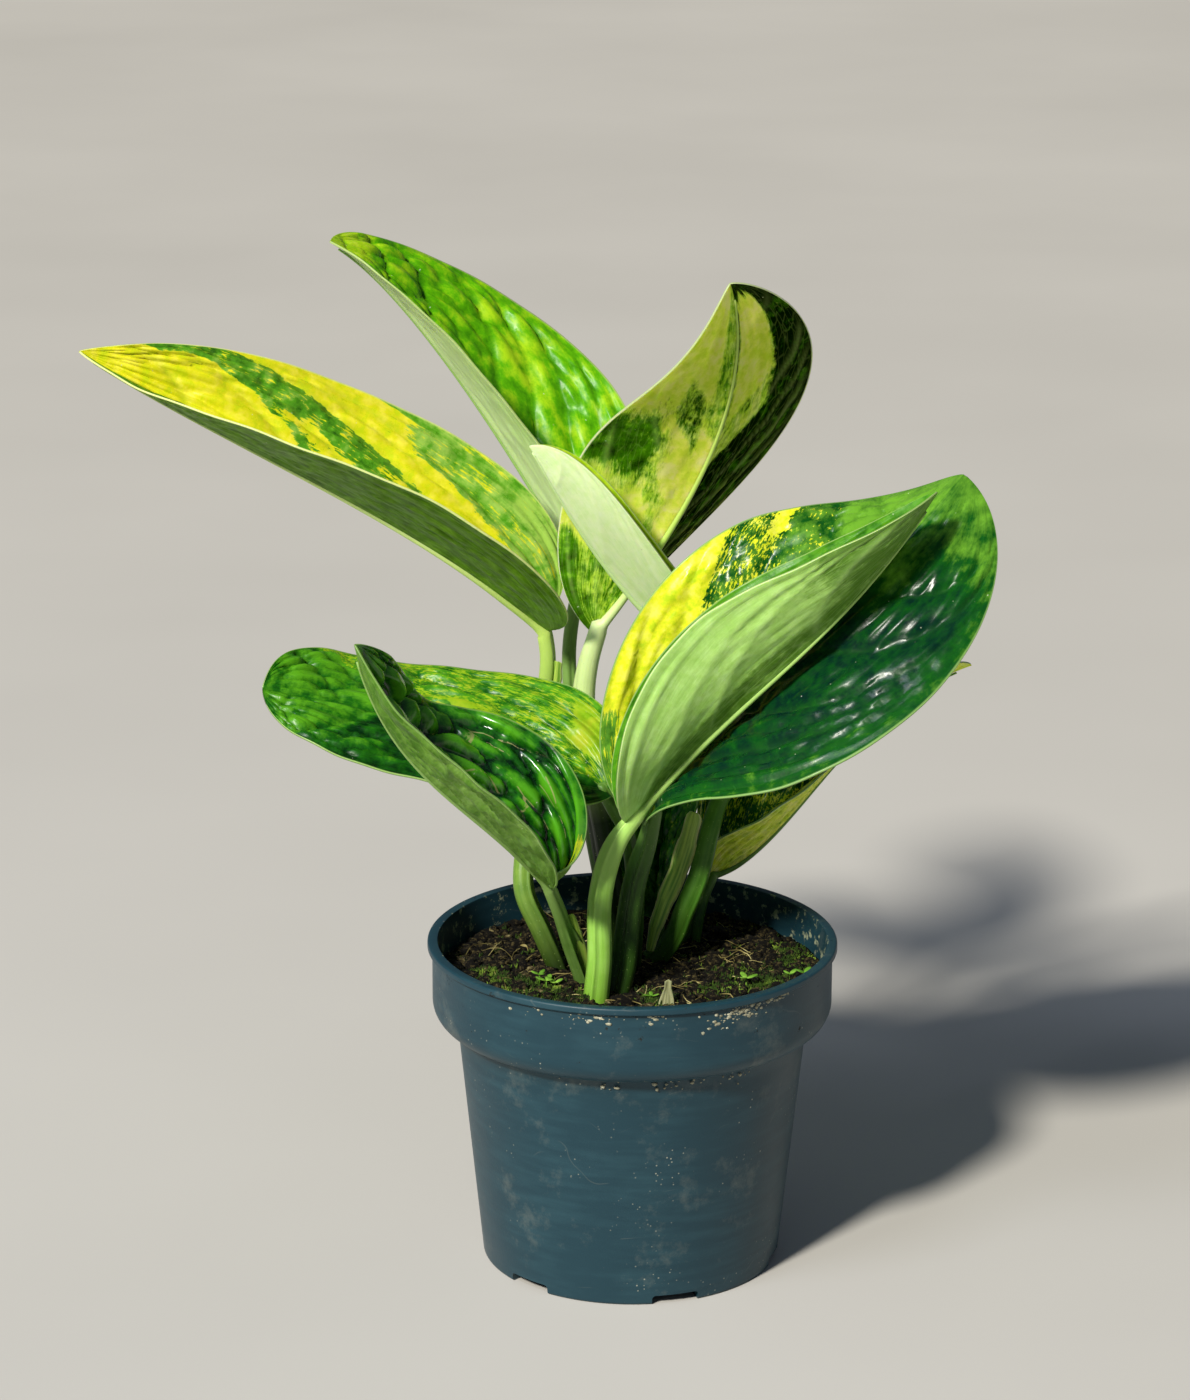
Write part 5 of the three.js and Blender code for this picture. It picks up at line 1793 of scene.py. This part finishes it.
def plans() -> list[LeafPlan]:
    """Gives the ten leaves.

    Returns:
        Their plans, in the order of their letters.
    """
    return [
        LeafPlan(
            "leaf_a_marbled", "leaf_a_left_yellow", "leaf_yellow_green",
            ((-26, 27, 183), (-60, 10, 221), (-124, 20, 243), (-159, 18, 268)),
            (21, 16, 39), (36, 37), (0.4, 0.85), (50, 39, 39), (40, 28, 51), (3, 9), (4, 13), -1,
            ((-25, 27, 174), (-27, 27, 156), (-31, 19, 133), (-32, 12, 120), (-32, 7, 109), (-27, 4, 98),
             (-22, 2, 87), (-19, 0, 80)), (2.4, 2.9),
            SUNNY, SUNNY_UNDER, YELLOW_STALK, sweep=(0.72, 0.72), bend=(1.15, 1.15),
            quilting=Quilting((5, 5), pillow=1.1, crumple=0.3, blister=1.7, blister_size=9.0,
                              left_share=0.4), yellow=0.4,
            patches=(
                Patch(LEFT, EVERY, 0.12, -0.2),
                Patch(RIGHT, (-2.0, -0.5), 0.3, 0.5),
                Patch(RIGHT, (-0.5, -0.12), 0.3, 0.4),
                Patch(RIGHT, (-0.5, -0.12), 0.85, 0.6, reach=(0.45, 1.2), along=(0.38, 1.2)),
                Patch(RIGHT, (-0.12, 0.1), 0.93, 0.6),
                Patch(RIGHT, (-0.53, -0.46), 0.1, 0.1, reach=(0.2, 1.1)),
                Patch(RIGHT, (0.1, 0.48), 0.26, -0.3),
                Patch(RIGHT, (0.34, 0.43), 0.8, 0.0, reach=(0.0, 0.5)),
                Patch(RIGHT, (0.17, 0.22), 0.7, 0.0, reach=(0.0, 0.42)),
                Patch(RIGHT, (0.48, 2.0), 1.25, 0.5),
                Patch(RIGHT, (0.42, 0.66), 0.2, -0.3, reach=(0.84, 1.2)),
                Patch(RIGHT, EVERY, 0.2, 0.8, reach=(0.7, 1.2), along=(-0.1, 0.16)),
            ), ribbons=(Ribbon(((-24, 26, 160), (-23.2, 26, 167), (-22.4, 25.5, 174)), (1.2, 3.6, 2.2),
                               (-0.3, -0.95, 0.1)),), seed=1,
        ),
        LeafPlan(
            "leaf_b_bright", "leaf_b_top_left", "leaf_bright_green",
            ((-15, 52, 194), (-29, 64, 217), (-66, 62, 280), (-89, 54, 293)),
            (47, 19, 2), (27.5, 38.5), (0.55, 0.75), (76, 40, 14), (71, 20, 6), (9, 1), (15, 2), 1,
            ((-18, 50, 180), (-19, 48, 168), (-17, 42, 145), (-12, 34, 119), (-8, 28, 99), (-6, 27, 78)),
            (2, 2.6), BRIGHT, BRIGHT_UNDER, DULL_STALK, sweep=(0.5, 0.5), bend=(1.3, 1.3),
            quilting=Quilting((6, 6), groove=0.8, pillow=1.0, crumple=0.5, blister=1.8, blister_size=9.0,
                              wave=0.2, shade=0.25, left_share=0.25),
            yellow=0.1, patches=(
                Patch(RIGHT, (0.2, 0.42), 0.2, 0.5, reach=(0.45, 0.8)),
                Patch(RIGHT, EVERY, 0.4, 1.0, along=(0.86, 1.2), soft=0.04),
            ), seed=2,
        ),
        LeafPlan(
            "leaf_c_cream", "leaf_c_top_right", "leaf_pale_green",
            ((-10, 22, 186), (7, 23, 208), (37, 19, 251), (26, -10, 294)),
            (10, 12, 12), (36.5, 34.5), (0.6, 0.7), (29, 18, -20), (34, 25, -14), (7, -3), (10, 0), 3,
            ((-13, 23, 174), (-14, 23, 163), (-12, 21, 142), (-8, 18, 121), (-5, 16, 103), (-3, 15, 78)),
            (2.7, 3.4), CREAM_UPPER, CREAM_UNDER, PALE_STALK, sweep=(0.72, 0.72), bend=(1.1, 1.1),
            quilting=Quilting((4, 2.4), groove=0.15, pillow=0.5, crumple=0.1, blister=0.7, blister_size=12.0,
                              midrib=0.3, wave=0.0, shade=0.0), yellow=0.5,
            patches=(
                Patch(RIGHT, EVERY, 0.9, 0.7),
                Patch(RIGHT, EVERY, 0.25, 0.1, along=(-0.1, 0.2)),
                Patch(RIGHT, EVERY, 0.1, -0.2, reach=(0.75, 1.2), along=(-0.1, 0.2)),
                Patch(RIGHT, (0.22, 0.32), 0.5, 0.5, reach=(0.15, 0.42)),
                # Painted shadow: a soft-edged dark patch across the right half, where a shadow falls on it
                Patch(RIGHT, (-2.0, 0.44), 0.1, -0.2, reach=(0.4, 1.2), along=(0.42, 0.66), soft=0.05),
                Patch(RIGHT, (0.4, 0.52), 0.8, 0.3, reach=(0.45, 0.68)),
                Patch(RIGHT, (0.5, 0.66), 0.25, -0.4, reach=(0.16, 0.46)),
                Patch(RIGHT, (0.58, 0.72), 0.9, 0.4, reach=(0.08, 0.2)),
                Patch(RIGHT, (0.6, 2.0), 0.3, 0.2, reach=(-0.1, 0.18)),
                # Painted shade: the left half, which turns away from the light, is painted dark down to the
                # skin's near black deep colour; the cream patches lie over it
                Patch(LEFT, EVERY, 0.08, -1.0),
                Patch(LEFT, (0.62, 0.95), 0.95, 0.3, reach=(0.05, 0.52)),
                Patch(LEFT, (0.5, 0.62), 0.6, 0.2, reach=(0.0, 0.5)),
            ), wing=1.5, sheath=1.0, seed=3,
        ),
        LeafPlan(
            "leaf_d_large", "leaf_d_large_right", "leaf_dark_green",
            ((6, -8, 140), (26, 2, 177), (51, -36, 196), (93, -4, 238)),
            (-31, -36, -29), (39, 45.5), (0.5, 0.5), (54, 27, -21), (38, 6, -36), (21, 0), (13, -8), 6,
            ((4, -9, 129), (1, -11, 118), (-1, -13, 105), (-2, -16, 95), (-4, -19, 86), (-5, -20, 79)),
            (2.6, 3.3), DARK, DARK_UNDER, SHADED_STALK, sweep=(0.5, 0.9), bend=(1.2, 1.5),
            quilting=Quilting((5, 5), groove=0.5, pillow=1.4, crumple=0.4, blister=1.2, blister_size=10.0,
                              wave=0.2, shade=0.3), yellow=0.0,
            patches=(
                # Painted shade: the right half is painted dark for the shade that lies over it, with painted
                # light on its margin and its upper end
                Patch(RIGHT, EVERY, 0.0, -0.85, soft=0.06),
                Patch(RIGHT, EVERY, 0.0, -0.1, reach=(0.86, 1.2), soft=0.05),
                # Painted light: a lighter band beside leaf E's keel lifts the shadow that leaf E casts there
                Patch(RIGHT, EVERY, 0.0, 0.6, reach=(-0.1, 0.28), along=(0.74, 0.96), soft=0.07),
                Patch(RIGHT, EVERY, 0.0, -0.1, along=(0.84, 1.2), soft=0.06),
                Patch(LEFT, (-2.0, 0.2), 1.0, 0.6),
                Patch(LEFT, (0.2, 0.5), 0.36, 0.1),
                Patch(LEFT, (0.42, 0.52), 0.9, 0.0, reach=(0.78, 1.2)),
                Patch(LEFT, (0.5, 0.72), 0.24, 0.2),
                Patch(LEFT, (0.72, 2.0), 0.1, 0.7),
                Patch(LEFT, EVERY, 0.3, 0.7, reach=(0.8, 1.2), along=(-0.1, 0.16)),
                # Painted light on the right half's sunlit tip
                Patch(RIGHT, EVERY, 0.05, 0.4, along=(0.9, 1.2)),
            ), wing=1.3, sheath=0.95, seed=4,
        ),
        LeafPlan(
            "leaf_e_pale", "leaf_e_pale_right", "leaf_pale_green",
            ((1, -20, 142), (28, -23, 179), (55, -42, 197), (84, -24, 238)),
            (-19, 7, -1), (28.5, 33), (0.6, 0.8), (69, 61, 42), (50, 55, 21), (5, 2), (2, 2), 4,
            ((-4, -22, 135), (-7, -23, 127), (-9, -24, 116), (-9, -25, 99), (-10, -26, 87), (-10, -26, 79)),
            (2.5, 3.2), FLECKED, PALE_UNDER, GREEN_STALK, sweep=(0.9, 0.9), bend=(1.5, 1.5),
            quilting=Quilting((2.6, 2.6), groove=0.12, pillow=0.5, crumple=0.0, blister=0.3, midrib=0.4,
                              belly=2.6, shade=0.0), yellow=0.1,
            patches=(
                Patch(RIGHT, EVERY, 0.5, 0.3),
                # Painted shade: darker beside the midrib, where the right half curves away from the light, and
                # darker towards the tip, which lies in shadow
                Patch(RIGHT, EVERY, 0.1, -0.8, reach=(-0.1, 0.25), soft=0.05),
                Patch(RIGHT, EVERY, 0.1, -1.0, along=(0.72, 1.2), soft=0.09),
                Patch(LEFT, EVERY, 0.2, 0.8),
            ), wing=1.5, sheath=1.0, seed=5,
        ),
        LeafPlan(
            "leaf_f_blunt", "leaf_f_blunt_left", "leaf_dark_green",
            ((-9, -5, 145), (-31, 5, 158), (-91, 2, 169), (-107, 0, 173)),
            (33, 7, 25), (28, 30), (0.5, 0.6), (15, -12, 4), (47, 6, 22), (2, 0), (8, 5), 4,
            ((-6, -5, 139), (-2, -3, 131), (0, -1, 119), (0, 0, 103), (-1, 0, 87), (-1, 0, 79)),
            (2, 2.8), FLECKED, DARK_UNDER, SHADED_STALK, sweep=(0.62, 0.62), bend=(1.15, 1.15),
            quilting=Quilting((5, 5), groove=0.5, pillow=1.4, crumple=0.5, blister=2.2, blister_size=10.0,
                              shade=0.6), yellow=0.0,
            patches=(
                Patch(RIGHT, (-2.0, 0.5), 0.38, 0.4),
                Patch(RIGHT, EVERY, 1.0, 0.7, reach=(0.35, 0.85), along=(0.05, 0.17)),
                Patch(RIGHT, (0.2, 0.3), 0.75, 0.7, reach=(0.28, 0.48)),
                Patch(RIGHT, (0.5, 2.0), 0.05, 0.3),
                Patch(LEFT, (-2.0, 0.6), 0.05, -0.6),
                Patch(LEFT, (0.6, 2.0), 0.05, 0.35),
            ), seed=6,
        ),
        LeafPlan(
            "leaf_g_pale", "leaf_g_pale_middle", "leaf_pale_green",
            ((32, 22, 166), (-7, 16, 194), (-21, 0, 231), (-30, 0, 245)),
            (11, 27, -5), (18, 16), (0.6, 0.7), (54, 66, 48), (60, 80, 45), (6, 14), (11, 16), 3,
            ((33, 20, 152), (29, 16, 141), (25, 13, 134), (22, 10, 125), (19, 8, 113), (15, 7, 103),
             (12.5, 7, 96), (8.5, 7, 90), (4.5, 7, 87.5), (1, 7, 84)), (2.6, 3.1),
            BRIGHT, WHITISH_UNDER, CLEAR_STALK, sweep=(0.8, 0.8), bend=(1.3, 1.3),
            quilting=Quilting((3, 3), groove=0.15, pillow=0.4, crumple=0.1, blister=0.1, midrib=0.2,
                              wave=0.0, shade=0.0), yellow=0.8,
            ribbons=(Ribbon(((5, 3, 92), (6.5, 4, 99), (9.5, 6, 107), (13, 7.5, 115), (15.7, 8, 124),
                             (18, 9, 133)), (2.0, 5.6, 4.6), (-0.3, -0.9, 0.1)),),
            seed=7,
        ),
        LeafPlan(
            "leaf_h_quilted", "leaf_h_front_left", "leaf_dark_green",
            ((-24, -30, 123), (-42, -59, 158), (-67, -62, 163), (-76, -76, 208)),
            (83, 35, 51), (24.5, 33.5), (0.5, 0.75), (63, 38, 33), (63, 8, 36), (4, 3), (13, 10), -7,
            ((-21, -24, 113), (-18, -18, 101), (-15, -14, 91), (-12, -12, 80)), (2, 2.6),
            GLOSSY, DARK_UNDER, DULL_STALK, sweep=(0.5, 0.5), bend=(1.15, 1.15),
            quilting=Quilting((4, 4), groove=0.7, pillow=0.6, crumple=0.5, blister=5.0, blister_size=12.0,
                              shade=0.9, left_share=0.4), yellow=0.0,
            patches=(
                Patch(LEFT, EVERY, 0.0, -0.7, along=(0.7, 1.2), soft=0.06),
                Patch(RIGHT, EVERY, 0.0, 0.15),
                Patch(RIGHT, EVERY, 0.0, 0.15, along=(0.02, 0.42), cork=0.8),
                # Painted light: the right half is lighter towards the tip, which lies in shade
                Patch(RIGHT, EVERY, 0.0, 0.2, along=(0.5, 1.2)),
                Patch(RIGHT, EVERY, 0.1, 0.1, reach=(0.86, 1.2)),
                Patch(RIGHT, EVERY, 0.55, 0.2, reach=(0.5, 1.2), along=(-0.1, 0.05)),
            ), wing=1.6, ribbons=(Ribbon(((-11.5, -15, 88), (-14, -17, 95), (-16, -19, 103), (-18, -21.5, 112)),
                                         (2.4, 4.2, 2.0), (0.1, -0.95, 0.1)),), seed=8,
        ),
        LeafPlan(
            "leaf_i_mottled", "leaf_i_low_right", "leaf_pale_green",
            ((24, 32, 106), (50, 38, 114), (61, 44, 154), (102, 58, 164)),
            (-1, -22, 13), (32, 32), (0.5, 0.75), (19, 19, 10), (59, 48, 27), (6, 6), (3, 6), 2,
            ((21, 28, 100), (19, 25, 92), (17, 24, 78)), (2, 2.4),
            DARK, CREAM_UNDER, SHADED_STALK, yellow=0.36,
            patches=(Patch(RIGHT, EVERY, 0.7, 0.3),), seed=9,
        ),
        LeafPlan(
            "leaf_j_small", "leaf_j_small_shaded", "leaf_dark_green",
            ((8, 24, 97), (7, 33, 115), (11, 35, 139), (24, 44, 160)),
            (6, -7, 7), (20.5, 20), (0.55, 0.75), (40, 37, 20), (43, 34, 24), (5, 6), (6, 6), 2,
            ((8, 23, 91), (8, 23, 78)), (1.6, 2),
            DARK, DARK_UNDER, SHADED_STALK, yellow=0.2, seed=10,
        ),
    ]


def main() -> None:
    """Builds the looks of the whole plant, its pot and the studio."""
    logging.basicConfig(level=logging.INFO, format="%(message)s")
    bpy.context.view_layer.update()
    Studio().build()
    NurseryPot().build()
    mix = PottingMix()
    mix.build()
    GroundCover(mix).build()
    DryScale().build()
    for plan in plans():
        Leaf(plan).build()
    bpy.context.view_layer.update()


if __name__ == "__main__":
    main()
